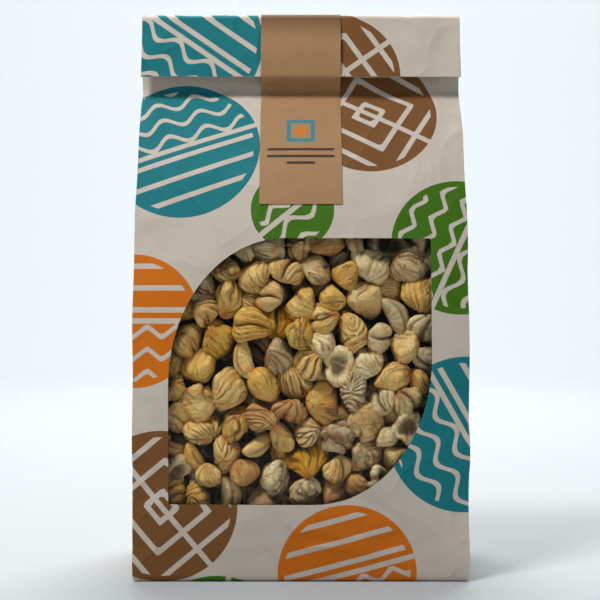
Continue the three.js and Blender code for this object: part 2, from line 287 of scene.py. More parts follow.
def relief(u, v):
    """How far the paper stands out from its smooth shape, in millimetres."""
    random = np.random.default_rng(CREASE_SEED)
    out = 0.28 * np.sin(u / 11.0 + 2.0 * np.sin(v / 37.0)) * np.sin(v / 19.0 + u / 43.0)
    out = out + 0.14 * np.sin(u / 5.1 - v / 8.3 + 1.7 * np.sin(u / 23.0))
    for u0, u1, v0, v1, count, height in CREASE_ZONES:
        for _ in range(count):
            du, dv = u - random.uniform(u0, u1), v - random.uniform(v0, v1)
            angle = random.uniform(0, math.pi)
            reach, width = random.uniform(*CREASE_REACH), random.uniform(*CREASE_WIDTH)
            high = height * random.uniform(0.4, 1.0) * random.choice([-1, 1])
            along = du * math.cos(angle) + dv * math.sin(angle)
            beside = dv * math.cos(angle) - du * math.sin(angle)
            beside = beside + CREASE_CURVE * along**2 * random.choice([-1, 1])
            fade = np.maximum(1 - (along / reach) ** 2, 0) ** 2
            peak = np.sqrt((beside / width) ** 2 + CREASE_ROUND)
            out = out + high * fade * np.exp(CREASE_LIFT - peak)
    return out


# ---------------------------------------------------------------- making meshes

SHEET_SHARP = 40  # edges that bend more than this many degrees stay sharp
BAG_SHARP = 32


def link_mesh(name, mesh):
    piece = bpy.data.objects.new(name, mesh)
    bpy.context.scene.collection.objects.link(piece)
    return piece


def mesh_from(name, points_mm, faces):
    mesh = bpy.data.meshes.new(name)
    mesh.from_pydata((np.asarray(points_mm) * MM).tolist(), [], faces)
    mesh.validate()
    return mesh


def read(data, field, width=1, kind=np.float32):
    """One field of a mesh's vertices, corners or faces, as an array."""
    out = np.zeros(len(data) * width, kind)
    data.foreach_get(field, out)
    return out.reshape(-1, width) if width > 1 else out


def vertex_places(mesh):
    return read(mesh.vertices, "co", 3)


def corner_vertices(mesh):
    return read(mesh.loops, "vertex_index", kind=np.int32)


def face_spans(mesh):
    """The first corner of each face and how many corners it has."""
    return [read(mesh.polygons, f, kind=np.int32) for f in ("loop_start", "loop_total")]


def sheet_uv(mesh):
    return read(mesh.uv_layers["sheet"].data, "uv", 2)


def set_sheet_uv(mesh, values):
    layer = mesh.uv_layers.get("sheet") or mesh.uv_layers.new(name="sheet")
    layer.data.foreach_set("uv", np.asarray(values, np.float32).ravel())


def keep_values(mesh, name, kind, domain, values):
    """Stores numbers on a mesh for a material or a node tree to read."""
    layer = mesh.attributes.new(name, kind, domain)
    field = "vector" if kind == "FLOAT_VECTOR" else "value"
    values = np.asarray(values, np.int32 if kind == "INT" else np.float32)
    layer.data.foreach_set(field, values.ravel())


def smooth_with_edges(mesh, degrees):
    mesh.shade_smooth()
    mesh.set_sharp_from_angle(angle=math.radians(degrees))


def evaluated_mesh(piece):
    """The piece's mesh with its modifiers in it; the modifiers are removed."""
    graph = bpy.context.evaluated_depsgraph_get()
    shown = piece.evaluated_get(graph)
    mesh = bpy.data.meshes.new_from_object(shown, preserve_all_data_layers=True, depsgraph=graph)
    piece.modifiers.clear()
    piece.data = mesh
    return mesh


def grid_normals(points, wrap):
    """Unit normals of a grid of points[row, column]."""
    if wrap:
        across = np.roll(points, -1, 1) - np.roll(points, 1, 1)
    else:
        across = np.gradient(points, axis=1)
    normal = np.cross(across, np.gradient(points, axis=0))
    return normal / np.maximum(np.linalg.norm(normal, axis=-1, keepdims=True), 1e-9)


def turned(faces):
    """The same faces seen from their other side."""
    return [(face[0], *reversed(face[1:])) for face in faces]


def ring_faces(rows, count, first=0):
    """Faces between the rings of a stack, whose points are numbered ring by ring."""
    faces = []
    for row in range(rows - 1):
        for column in range(count):
            a = first + row * count + column
            b = first + row * count + (column + 1) % count
            faces.append((a, b, b + count, a + count))
    return faces


def thin_sheet(name, face, thickness):
    """A closed sheet whose outer face is the grid of points, with UVs in metres."""
    rows, columns = face.shape[:2]
    under = face - grid_normals(face, False) * thickness
    points = np.concatenate([face.reshape(-1, 3), under.reshape(-1, 3)])
    at = np.arange(rows * columns).reshape(rows, columns)
    low = at + rows * columns
    faces = []
    for r in range(rows - 1):
        for c in range(columns - 1):
            faces.append((at[r, c], at[r, c + 1], at[r + 1, c + 1], at[r + 1, c]))
            faces.append((low[r, c], low[r + 1, c], low[r + 1, c + 1], low[r, c + 1]))
    rim = [(0, c) for c in range(columns - 1)]
    rim += [(r, columns - 1) for r in range(rows - 1)]
    rim += [(rows - 1, c) for c in range(columns - 1, 0, -1)]
    rim += [(r, 0) for r in range(rows - 1, 0, -1)]
    for here, there in zip(rim, rim[1:] + rim[:1]):
        faces.append((at[there], at[here], low[here], low[there]))
    mesh = mesh_from(name, points, [tuple(int(i) for i in f) for f in faces])
    across = np.linalg.norm(np.diff(face, axis=1), axis=-1)
    along = np.linalg.norm(np.diff(face, axis=0), axis=-1)
    u = np.concatenate([np.zeros((rows, 1)), np.cumsum(across, 1)], 1)
    v = np.concatenate([np.zeros((1, columns)), np.cumsum(along, 0)], 0)
    flat = np.stack([u, v], -1).reshape(-1, 2) * MM
    set_sheet_uv(mesh, np.concatenate([flat, flat])[corner_vertices(mesh)])
    smooth_with_edges(mesh, SHEET_SHARP)
    return mesh


def ride(piece, node):
    """Every piece of the bag moves with its one body and stands for its solid."""
    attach(piece, "root")
    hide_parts(node)


# ---------------------------------------------------------------- materials


def add(tree, kind, inputs=None, **settings):
    """Adds a node with its settings. Each input takes a value, a socket, or another node,
    which stands for its first output."""
    node = tree.nodes.new(kind)
    for key, value in settings.items():
        setattr(node, key, value)
    for key, value in (inputs or {}).items():
        socket = node.inputs[key]
        if isinstance(value, bpy.types.Node):
            value = next(output for output in value.outputs if output.enabled)
        if isinstance(value, bpy.types.NodeSocket):
            tree.links.new(value, socket)
        elif socket.type == "RGBA":
            socket.default_value = (*value, 1.0)
        else:
            socket.default_value = value
    return node


def new_material(name):
    """An empty material and its node tree."""
    material = bpy.data.materials.new(name)
    material.use_nodes = True
    material.node_tree.nodes.clear()
    return material, material.node_tree


def shades(colour, darker, lighter):
    """Two shades of a colour, for the ends of a mix."""
    return {"A": tuple(c * darker for c in colour), "B": tuple(min(c * lighter, 1) for c in colour)}


STROKE = 1.3  # half width of the pale printed lines, mm
STROKE_STEP = 10.5  # between one pale line and the next, mm
DISC_RIM = 3.0  # solid ink round each disc, mm
RIB_PITCH = 0.0011  # fine ribs of machine-glazed paper, m
RIB_SHARE = 0.14  # their height as a share of the fibres'
FIBRE = 0.0006  # paper fibre clumps, m
PAPER_CLOUD = 0.018  # uneven whiteness, m
KRAFT_CLOUD = 0.009
CRINKLE = 0.026  # soft handling crinkles, m
CRINKLE_DEPTH = 0.0011
PAPER_TOOTH = 0.00006  # depth of the papers' grain, m
KRAFT_TOOTH = 0.00005
FOLD_SHADE_STARTS = 0.262  # painted shade: the strip is painted darker up to its fold, where it turns away from the light, m
FOLD_SHADE_FULL = 0.278
FILM_GLOSS = 0.007  # share of the light that the film reflects


def printed_discs(tree, paper, plain):
    """The paper with its printed discs: each one's ink inside its edge, but for the pale
    lines of its upper and lower motif and the pale line between them."""
    printed = add(tree, "ShaderNodeAttribute", attribute_name="print")
    fields = add(tree, "ShaderNodeSeparateXYZ", {0: printed.outputs["Vector"]})
    edge, upper_lines, lower_lines = (fields.outputs[axis] for axis in "XYZ")
    split = add(tree, "ShaderNodeAttribute", attribute_name="split").outputs["Fac"]
    ink = add(tree, "ShaderNodeAttribute", attribute_name="ink").outputs["Fac"]
    inked = plain
    for index, colour in enumerate((paper.teal, paper.green, paper.brown, paper.orange)):
        chosen = add(tree, "ShaderNodeMath", {0: ink, 1: float(index), 2: 0.4}, operation="COMPARE")
        swap = {"Factor": chosen, "A": inked, "B": tuple(colour)}
        inked = add(tree, "ShaderNodeMix", swap, data_type="RGBA")
    upper = add(tree, "ShaderNodeMath", {0: split, 1: 0.0}, operation="GREATER_THAN")
    lines = add(tree, "ShaderNodeMix", {"Factor": upper, "A": lower_lines, "B": upper_lines})
    line = add(tree, "ShaderNodeMath", {0: lines, 1: STROKE_STEP / 2}, operation="PINGPONG")
    middle = add(tree, "ShaderNodeMath", {0: split}, operation="ABSOLUTE")
    off_line = add(tree, "ShaderNodeMath", {0: line, 1: STROKE}, operation="GREATER_THAN")
    off_split = add(tree, "ShaderNodeMath", {0: middle, 1: STROKE}, operation="GREATER_THAN")
    rim = add(tree, "ShaderNodeMath", {0: edge, 1: -DISC_RIM}, operation="GREATER_THAN")
    solid = add(tree, "ShaderNodeMath", {0: off_line, 1: rim}, operation="MAXIMUM")
    inside = add(tree, "ShaderNodeMath", {0: edge, 1: 0.0}, operation="LESS_THAN")
    for limit in (solid, off_split):
        inside = add(tree, "ShaderNodeMath", {0: inside, 1: limit}, operation="MULTIPLY")
    discs = {"Factor": inside, "A": plain, "B": inked}
    return add(tree, "ShaderNodeMix", discs, data_type="RGBA")


def uncoated_paper(paper):
    """Uncoated bleached kraft, machine ribbed and printed with matt inks. It gives a
    dull, slightly warm grey-white with fine ribs that also show through the ink."""
    material, tree = new_material("uncoated_bleached_paper")
    sheet = add(tree, "ShaderNodeUVMap", uv_map="sheet")
    place = add(tree, "ShaderNodeSeparateXYZ", {0: sheet})
    ribs = {0: place.outputs["X"], 1: TURN / RIB_PITCH}
    rib = add(tree, "ShaderNodeMath", ribs, operation="MULTIPLY")
    rib = add(tree, "ShaderNodeMath", {0: rib}, operation="SINE")
    fibres = {"Vector": sheet, "Scale": 1 / FIBRE, "Detail": 3.0}
    fibre = add(tree, "ShaderNodeTexNoise", fibres)
    clouds = {"Vector": sheet, "Scale": 1 / PAPER_CLOUD, "Detail": 4.0}
    cloud = add(tree, "ShaderNodeTexNoise", clouds)
    tones = {"Factor": cloud, **shades(paper.colour, 0.93, 1.05)}
    plain = add(tree, "ShaderNodeMix", tones, data_type="RGBA")
    toned = printed_discs(tree, paper, plain)
    speckles = {"Value": fibre, "To Min": 0.93, "To Max": 1.05}
    ribbing = {"Value": rib, "From Min": -1.0, "To Min": 0.988, "To Max": 1.01}
    for shading in (speckles, ribbing):
        scale = add(tree, "ShaderNodeMapRange", shading)
        toned = add(tree, "ShaderNodeVectorMath", {0: toned, "Scale": scale}, operation="SCALE")
    height = add(tree, "ShaderNodeMath", {0: rib, 1: RIB_SHARE, 2: fibre}, operation="MULTIPLY_ADD")
    folds = {"Vector": sheet, "Scale": 1 / CRINKLE, "Detail": 1.6, "Offset": 0.9, "Distortion": 0.6}
    crinkle = add(tree, "ShaderNodeTexNoise", folds, noise_type="RIDGED_MULTIFRACTAL")
    held = {"Value": cloud, "From Min": 0.35, "From Max": 0.7, "To Min": 0.25, "To Max": 1.0}
    handled = add(tree, "ShaderNodeMapRange", held)
    dent = {"Height": crinkle, "Distance": CRINKLE_DEPTH, "Strength": handled}
    dents = add(tree, "ShaderNodeBump", dent)
    tooth = {"Height": height, "Distance": PAPER_TOOTH, "Strength": 0.8, "Normal": dents}
    finish = {
        "Base Color": toned,
        "Roughness": 0.72,
        "IOR": 1.45,
        "Specular IOR Level": 0.3,
        "Normal": add(tree, "ShaderNodeBump", tooth),
    }
    add(tree, "ShaderNodeOutputMaterial", {0: add(tree, "ShaderNodeBsdfPrincipled", finish)})
    return material


def kraft_paper(label):
    """Unbleached kraft, calendered on one side. It gives an even brown with fine
    lengthwise ribs, darker fibres and hardly any shine."""
    material, tree = new_material("unbleached_kraft_paper")
    sheet = add(tree, "ShaderNodeUVMap", uv_map="sheet")
    drawn = add(tree, "ShaderNodeMapping", {"Vector": sheet, "Scale": (1.0, 0.12, 1.0)})
    fibres = {"Vector": drawn, "Scale": 1 / FIBRE, "Detail": 4.0}
    fibre = add(tree, "ShaderNodeTexNoise", fibres)
    clouds = {"Vector": sheet, "Scale": 1 / KRAFT_CLOUD, "Detail": 3.0}
    cloud = add(tree, "ShaderNodeTexNoise", clouds)
    tones = {"Factor": cloud, **shades(label.colour, 0.9, 1.08)}
    inked = add(tree, "ShaderNodeMix", tones, data_type="RGBA")
    printed = add(tree, "ShaderNodeAttribute", attribute_name="mark")
    mark = add(tree, "ShaderNodeSeparateXYZ", {0: printed.outputs["Vector"]})
    for axis, colour in (("X", label.square), ("Y", label.lozenge), ("Z", label.bars)):
        inside = {0: mark.outputs[axis], 1: 0.0}
        inside = add(tree, "ShaderNodeMath", inside, operation="LESS_THAN")
        swap = {"Factor": inside, "A": inked, "B": tuple(colour)}
        inked = add(tree, "ShaderNodeMix", swap, data_type="RGBA")
    streak = {"Value": fibre, "From Min": 0.3, "From Max": 0.7, "To Min": 0.95, "To Max": 1.05}
    scale = add(tree, "ShaderNodeMapRange", streak)
    toned = add(tree, "ShaderNodeVectorMath", {0: inked, "Scale": scale}, operation="SCALE")
    place = add(tree, "ShaderNodeTexCoord").outputs["Object"]
    height = add(tree, "ShaderNodeSeparateXYZ", {0: place}).outputs["Z"]
    # painted shade: the strip darkens towards its fold at the top of the bag
    fold_shade = {"Value": height, "From Min": FOLD_SHADE_STARTS, "From Max": FOLD_SHADE_FULL, "To Max": 0.8}
    fold_shade_share = add(tree, "ShaderNodeMapRange", fold_shade, interpolation_type="SMOOTHSTEP")
    painted_fold_shade = {"Factor": fold_shade_share, "A": toned, "B": linear("a08c78")}
    fold_shaded = add(tree, "ShaderNodeMix", painted_fold_shade, data_type="RGBA", blend_type="MULTIPLY")
    tooth = {"Height": fibre, "Distance": KRAFT_TOOTH, "Strength": 0.7}
    bump = add(tree, "ShaderNodeBump", tooth)
    finish = {"Base Color": fold_shaded, "Roughness": 0.68, "IOR": 1.45, "Normal": bump}
    add(tree, "ShaderNodeOutputMaterial", {0: add(tree, "ShaderNodeBsdfPrincipled", finish)})
    return material


def clear_film():
    """Clear polypropylene film, cast smooth. It lets the light through and adds a
    faint wide gloss."""
    material, tree = new_material("clear_polypropylene_film")
    clear = add(tree, "ShaderNodeBsdfTransparent", {"Color": (0.98, 0.98, 0.97)})
    gloss = add(tree, "ShaderNodeBsdfGlossy", {"Color": (1.0, 1.0, 1.0), "Roughness": 0.25})
    both = add(tree, "ShaderNodeMixShader", {0: FILM_GLOSS, 1: clear, 2: gloss})
    add(tree, "ShaderNodeOutputMaterial", {0: both})
    return material


FINE_GROOVES = 44  # across one face of a nut
FINE_GROOVE_DEPTH = 0.0003
BLOTCH = 0.006  # warm blotches of the flesh, m
PORE = 0.0009  # pits of the dry flesh, m
PATCH = 0.009  # where the fine grooves show and where the hair lines do, m
WRINKLE = 0.0026  # small lumps of the dried skin, m
HAIR_LINES = 9  # thin brown lines across one face of a nut
HAIR_STRENGTH = 0.75

# Lines along a nut: how far they wander, how many, how a sine wave's crests draw them, and
# the patches that they show in
SKIN_LINES = [
    (0.25, FINE_GROOVES,
     {"From Min": -1.0, "From Max": -0.1, "To Min": 0.75, "To Max": 0.0},
     {"From Min": 0.38, "From Max": 0.68}),
    (0.9, HAIR_LINES,
     {"From Min": 0.93, "From Max": 1.0, "To Min": 0.0, "To Max": HAIR_STRENGTH},
     {"From Min": 0.6, "From Max": 0.42}),
]


def skin_lines(tree, blotch, grain, patches, fine):
    """Fine grooves and thin brown hair lines, each in its own patches."""
    for wander, count, drawn, shown in SKIN_LINES:
        drift = {0: blotch, 1: wander, 2: grain}
        line = add(tree, "ShaderNodeMath", drift, operation="MULTIPLY_ADD")
        line = add(tree, "ShaderNodeMath", {0: line, 1: float(count)}, operation="MULTIPLY")
        line = add(tree, "ShaderNodeMath", {0: line}, operation="SINE")
        drawn = {"Value": line, **drawn}
        line = add(tree, "ShaderNodeMapRange", drawn, interpolation_type="SMOOTHSTEP")
        patch = add(tree, "ShaderNodeMapRange", {"Value": patches, **shown})
        for share in (patch, fine):
            line = add(tree, "ShaderNodeMath", {0: line, 1: share}, operation="MULTIPLY")
        yield line


def flesh_tones(tree, tone, nuts):
    """The nuts' colours from the palest to the bright yellow ones."""
    stops = [
        (0.0, nuts.cream), (0.16, nuts.cream), (0.28, nuts.grey),
        (0.42, nuts.straw), (0.60, nuts.straw), (0.72, nuts.yellow),
        (0.86, nuts.tan), (0.94, nuts.tan), (0.98, nuts.gold),
    ]
    ramp = add(tree, "ShaderNodeValToRGB", {0: tone})
    elements = ramp.color_ramp.elements
    while len(elements) < len(stops):
        elements.new(0.5)
    for element, (position, colour) in zip(elements, stops):
        element.position = position
        element.color = (*colour, 1)
    return ramp


def dried_flesh(nuts):
    """Peeled chestnut flesh, dried hard and wrinkled. It gives a dull straw colour
    with thin brown skin in the furrows and a faint waxy shine on the ridges."""
    material, tree = new_material("dried_chestnut_flesh")
    place = add(tree, "ShaderNodeTexCoord").outputs["Object"]
    grain = add(tree, "ShaderNodeAttribute", attribute_name="grain").outputs["Fac"]
    tone = add(tree, "ShaderNodeAttribute", attribute_name="tone").outputs["Fac"]
    clean = add(tree, "ShaderNodeAttribute", attribute_name="clean").outputs["Color"]
    marks = add(tree, "ShaderNodeAttribute", attribute_name="marks").outputs["Vector"]
    marks = add(tree, "ShaderNodeSeparateXYZ", {0: marks})
    furrow, tip, fine = (marks.outputs[axis] for axis in "XYZ")
    blotch, pore, patches, wrinkle = (
        add(tree, "ShaderNodeTexNoise", {"Vector": place, "Scale": 1 / size, "Detail": detail})
        for size, detail in ((BLOTCH, 3.0), (PORE, 3.0), (PATCH, 1.0), (WRINKLE, 2.0))
    )
    groove, hair = skin_lines(tree, blotch, grain, patches, fine)
    flesh = flesh_tones(tree, tone, nuts)
    warmth = {"Value": blotch, "From Min": 0.42, "From Max": 0.72, "To Max": 0.75}
    warm = add(tree, "ShaderNodeMapRange", warmth)
    for share, colour in ((warm, "efc58f"), (tip, "d69a58"), (groove, "c9954f")):
        stain = {"Factor": share, "A": flesh, "B": linear(colour)}
        flesh = add(tree, "ShaderNodeMix", stain, data_type="RGBA", blend_type="MULTIPLY")
    dark = add(tree, "ShaderNodeMath", {0: furrow, 1: hair}, operation="MAXIMUM")
    skin = {"Factor": dark, "A": flesh, "B": tuple(nuts.furrow)}
    flesh = add(tree, "ShaderNodeMix", skin, data_type="RGBA")
    # painted shade: the flesh is multiplied by the pile's painted shade, darker deeper in and
    # towards the window's edge
    painted_pile_shade = {"Factor": 1.0, "A": flesh, "B": clean}
    flesh = add(tree, "ShaderNodeMix", painted_pile_shade, data_type="RGBA", blend_type="MULTIPLY")
    height = pore
    for line, depth in ((groove, -1.0), (hair, -2.0)):
        cut = {0: line, 1: depth, 2: height}
        height = add(tree, "ShaderNodeMath", cut, operation="MULTIPLY_ADD")
    lumps = {"Height": wrinkle, "Distance": WRINKLE / 2, "Strength": 1.0}
    lumps = add(tree, "ShaderNodeBump", lumps)
    cuts = {"Height": height, "Distance": FINE_GROOVE_DEPTH, "Strength": 0.9, "Normal": lumps}
    bump = add(tree, "ShaderNodeBump", cuts)
    finish = {"Base Color": flesh, "Roughness": 0.42, "IOR": 1.45, "Normal": bump}
    add(tree, "ShaderNodeOutputMaterial", {0: add(tree, "ShaderNodeBsdfPrincipled", finish)})
    return material


FILL_LUMP = 0.016  # m


def shaded_fill():
    """The nuts further in, out of the light: rough and uneven, with painted shade, a near-black
    brown for the dark inside the pile.
    """
    material, tree = new_material("nuts_in_the_dark")
    place = add(tree, "ShaderNodeTexCoord").outputs["Object"]
    lumps = add(tree, "ShaderNodeTexVoronoi", {"Vector": place, "Scale": 1 / FILL_LUMP})
    # painted shade: these browns are far darker than the nuts' flesh, for the shade inside the pile
    browns = {"Factor": lumps, "A": linear("3b2916"), "B": linear("0c0704")}
    brown = add(tree, "ShaderNodeMix", browns, data_type="RGBA")
    surface = add(tree, "ShaderNodeBsdfPrincipled", {"Base Color": brown, "Roughness": 0.9})
    add(tree, "ShaderNodeOutputMaterial", {0: surface})
    return material


def matt_paper():
    """Seamless studio paper: pale, cool and without any shine."""
    material, tree = new_material("matt_studio_paper")
    finish = {"Base Color": linear("b9bec0"), "Roughness": 0.9}
    add(tree, "ShaderNodeOutputMaterial", {0: add(tree, "ShaderNodeBsdfPrincipled", finish)})
    return material


# ---------------------------------------------------------------- print

TEAL, GREEN, BROWN, ORANGE = range(4)

# Printed discs on the unrolled sheet: u, v, radius, ink, turn in degrees
DISCS = [
    (-58, 212, 38, TEAL, 20), (34, 232, 34, BROWN, -30), (76, 160, 33, GREEN, 65),
    (-80, 124, 32, ORANGE, 0), (78, 70, 37, TEAL, 120), (-66, 36, 36, BROWN, -50),
    (22, 4, 33, ORANGE, 15), (-40, -30, 33, GREEN, 80), (-4, 178, 20, GREEN, 40),
    (127, 210, 32, ORANGE, 10), (136, 118, 32, BROWN, 75), (140, 12, 33, GREEN, -20),
    (185, 170, 36, TEAL, 50), (194, 84, 32, ORANGE, -40), (206, 250, 33, GREEN, 15),
    (252, 132, 35, BROWN, 100), (236, 26, 37, TEAL, 30), (286, 210, 33, ORANGE, -15),
    (306, 76, 33, GREEN, 60), (222, 318, 32, BROWN, 35), (296, 300, 37, TEAL, -35),
    (352, 168, 31, BROWN, 5), (354, 240, 33, GREEN, -60), (354, -6, 33, ORANGE, 45),
    (352, 104, 16, TEAL, 20),
]
WAVE_HEIGHT = 3.0
WAVE_LENGTH = 19.0
ZIGZAG_SLOPE = 0.8
ZIGZAG_LENGTH = 14.0
FIELD_START = 200.5 * STROKE_STEP  # keeps the fields above 0, with the discs' middle off a line

FRONT_BAND = (20, 232)  # heights between which the front panel's UVs are set, mm
NEAR_FRONT = 1.2


def line_fields(across, up, ink):
    """Distance through the bands of a disc's two motifs, whose lines lie a step apart."""
    waves = up + WAVE_HEIGHT * np.sin(across * TURN / WAVE_LENGTH)
    half = ZIGZAG_LENGTH / 2
    folds = up + ZIGZAG_SLOPE * (np.abs((across % ZIGZAG_LENGTH) - half) - half / 2)
    squares = np.maximum(np.abs(across), np.abs(up))
    top = (waves, folds, squares, up)[ink]
    low = (up, waves, squares, folds)[ink]
    return np.stack([top, low], -1) + FIELD_START


def straighten_front_sheet(shape, mesh):
    """Sets the front panel's UVs from its places, since the window's cut bends them."""
    x, y, z = vertex_places(mesh)[corner_vertices(mesh)].T / MM
    start, size = face_spans(mesh)
    on_front = (np.abs(y + shape.panel_depth(x, z)) < NEAR_FRONT) & (z > FRONT_BAND[0])
    on_front &= (z < FRONT_BAND[1]) & (np.abs(x) < shape.half_width - 1)
    whole = np.minimum.reduceat(on_front.astype(int), start) == 1
    chosen = np.repeat(whole, size)
    uv = sheet_uv(mesh)
    uv[chosen, 0] = x[chosen] * MM
    uv[chosen, 1] = sheet_length(shape, z[chosen]) * MM
    set_sheet_uv(mesh, uv)


def lay_print(shape, mesh):
    """Lays the discs' fields on the sheet: each face takes the disc nearest to it."""
    uv = sheet_uv(mesh) / MM
    start, size = face_spans(mesh)
    owner = np.repeat(np.arange(len(start)), size)
    middle = np.add.reduceat(uv, start) / size[:, None]
    best = np.full(len(start), np.inf)
    nearest = np.zeros(len(start), np.int32)
    shift = np.zeros(len(start))
    moves = [k * shape.once_round for k in (-1, 0, 1)]
    for index, (u, v, radius, _, _) in enumerate(DISCS):
        for move in moves:
            away = np.hypot(middle[:, 0] - u - move, middle[:, 1] - v) - radius
            nearer = away < best
            best[nearer], nearest[nearer], shift[nearer] = away[nearer], index, move
    u, v, radius, ink, turn = np.array(DISCS, float)[nearest][owner].T
    du, dv, turn = uv[:, 0] - u - shift[owner], uv[:, 1] - v, np.radians(turn)
    across = du * np.cos(turn) + dv * np.sin(turn)
    up = dv * np.cos(turn) - du * np.sin(turn)
    fields = np.zeros((len(uv), 3))
    fields[:, 0] = np.hypot(across, up) - radius
    for index in range(4):
        mine = ink == index
        fields[mine, 1:] = line_fields(across[mine], up[mine], index)
    keep_values(mesh, "print", "FLOAT_VECTOR", "CORNER", fields)
    keep_values(mesh, "split", "FLOAT", "CORNER", up)
    keep_values(mesh, "ink", "FLOAT", "FACE", np.array(DISCS)[nearest, 3])


MARK_RISE = 8.0
MARK_CENTRE = 33.5  # above the strip's lower edge
SQUARE_HALF = 5.9
SQUARE_LINE = 1.0
LOZENGE_HALF = 3.4
BAR_HALF = 0.75
BARS = [(-3.4, 16.5), (-7.4, 16.5), (-11.2, 7.0)]  # level and half width of each
NO_MARK = 9.0


def label_mark(across, up):
    """Distances to the label's printed shapes, in mm: a square, a lozenge and bars."""
    square = np.maximum(np.abs(across), np.abs(up - MARK_RISE))
    square = np.abs(square - SQUARE_HALF) - SQUARE_LINE
    lozenge = np.abs(across) * 0.8 + np.abs(up - MARK_RISE) - LOZENGE_HALF
    bars = np.full(np.shape(across), NO_MARK)
    for level, half in BARS:
        bar = np.maximum(np.abs(across) - half, np.abs(up - level) - BAR_HALF)
        bars = np.minimum(bars, bar)
    return np.stack([square, lozenge, bars], -1)


# ---------------------------------------------------------------- pieces

FRONT_STEPS = 84  # faces across a panel and across a side
SIDE_STEPS = 30
ROOM_TOP = 237.0
CUT_PAST_PANEL = 3.0
CUTTER_FRONT = -60.0
ARC_STEPS = 28
HELD_EDGE = (19, 27)  # the relief fades under the label, from its middle line and up the sheet
HELD_UP = (168, 184)
HELD_SHARE = 0.8
SEAM_JUMP = 200
FILM_FACE = 1.3  # behind the outside of the paper
FILM_THICKNESS = 0.1
FILM_STEPS = 60
LABEL_GAP = 0.55
LABEL_MEETS = 241.0
LABEL_BULGE = 1.3  # the strip bows off the flap


def sheet_columns(shape):
    """Places round the sheet, with one on every fold."""
    marks = [
        (-shape.half_width, shape.side_start, FRONT_STEPS),
        (shape.side_start, shape.back_start, SIDE_STEPS),
        (shape.back_start, shape.side_end, FRONT_STEPS),
        (shape.side_end, shape.once_round - shape.half_width, SIDE_STEPS),
    ]
    return np.concatenate([np.linspace(a, b, n, endpoint=False) for a, b, n in marks])


def sheet_rows(shape):
    """Places up the sheet, close together round the base edge and the fold."""
    return np.concatenate([
        BASE_EDGE * np.array([0.08, 0.3, 0.6, 1.0]),
        np.linspace(4, 200, 99),
        np.linspace(201.5, ROOM_TOP, 25),
        np.linspace(238.5, shape.fold_z, 18),
        np.linspace(shape.fold_z, shape.fold_end, 15)[1:],
        np.linspace(shape.fold_end, shape.length, 14)[1:],
    ])


def backwards(faces):
    """The faces turned over, each from its last corner to its first."""
    return [face[::-1] for face in faces]


def ring_cap(first):
    """Closes a ring with a strip between its front and back and one face per side."""
    front = [first + i for i in range(FRONT_STEPS + 1)]
    right = [front[-1] + i for i in range(SIDE_STEPS + 1)]
    back = [right[-1] + i for i in range(FRONT_STEPS + 1)]
    left = [back[-1] + i for i in range(SIDE_STEPS)] + [first]
    back.reverse()
    strip = zip(front, back, back[1:], front[1:])
    return [*strip, tuple(reversed(right)), tuple(reversed(left))]


def shell(points, first):
    """Faces of a stack of rings, closed at both ends. points[row, column]."""
    rows, count = points.shape[:2]
    top = ring_cap(first + (rows - 1) * count)
    return ring_faces(rows, count, first) + ring_cap(first) + backwards(top)


def leaf_outline(window):
    """The window's outline in mm: two square corners and two round ones."""
    left, right = window.left / MM, window.right / MM
    bottom, top = window.bottom / MM, window.top / MM
    arc_x, arc_z = window.arc_across / MM, window.arc_up / MM
    turn = np.linspace(0, math.pi / 2, ARC_STEPS)
    across, up = arc_x * np.sin(turn), arc_z * np.cos(turn)
    x = np.concatenate([[left], right - arc_x + across, [right], left + arc_x - across])
    z = np.concatenate([[bottom], bottom + arc_z - up, [top], top - arc_z + up])
    return np.stack([x, z], -1)


def window_cutter(shape, window):
    """A leaf-shaped prism through the front panel alone, clear of the folded sides."""
    outline = leaf_outline(window)
    count = len(outline)
    near = [(x, CUTTER_FRONT, z) for x, z in outline]
    far = [(x, CUT_PAST_PANEL - shape.panel_depth(x, z), z) for x, z in outline]
    faces = [tuple(range(count)), tuple(range(2 * count - 1, count - 1, -1))]
    faces += [(j, i, i + count, j + count) for i, j in zip(range(count), [*range(1, count), 0])]
    mesh = mesh_from("window_cutter", near + far, faces)
    set_sheet_uv(mesh, np.full((len(mesh.loops), 2), 9.0))
    return link_mesh("window_cutter", mesh)


def creased_wall(shape, u, s, v):
    """The outside of the sheet with its round base edge, bowed flap and soft relief."""
    points = shape.wall(u, s)
    normals = grid_normals(points, True)
    tuck = 1 - np.sqrt(np.maximum(1 - (1 - np.minimum(s / BASE_EDGE, 1)) ** 2, 0))
    points = points - normals * (BASE_EDGE * tuck)[..., None]
    points[..., 1] -= FLAP_BULGE * shape.flap_bow(s)
    middle = np.minimum(np.abs(u), np.abs(u - shape.back_start - shape.half_width))
    held = (1 - smooth_step(*HELD_EDGE, middle)) * smooth_step(*HELD_UP, s)
    steady = smooth_step(0, 10, s) * (1 - HELD_SHARE * held)
    return points + normals * (relief(u, v) * steady)[..., None], normals


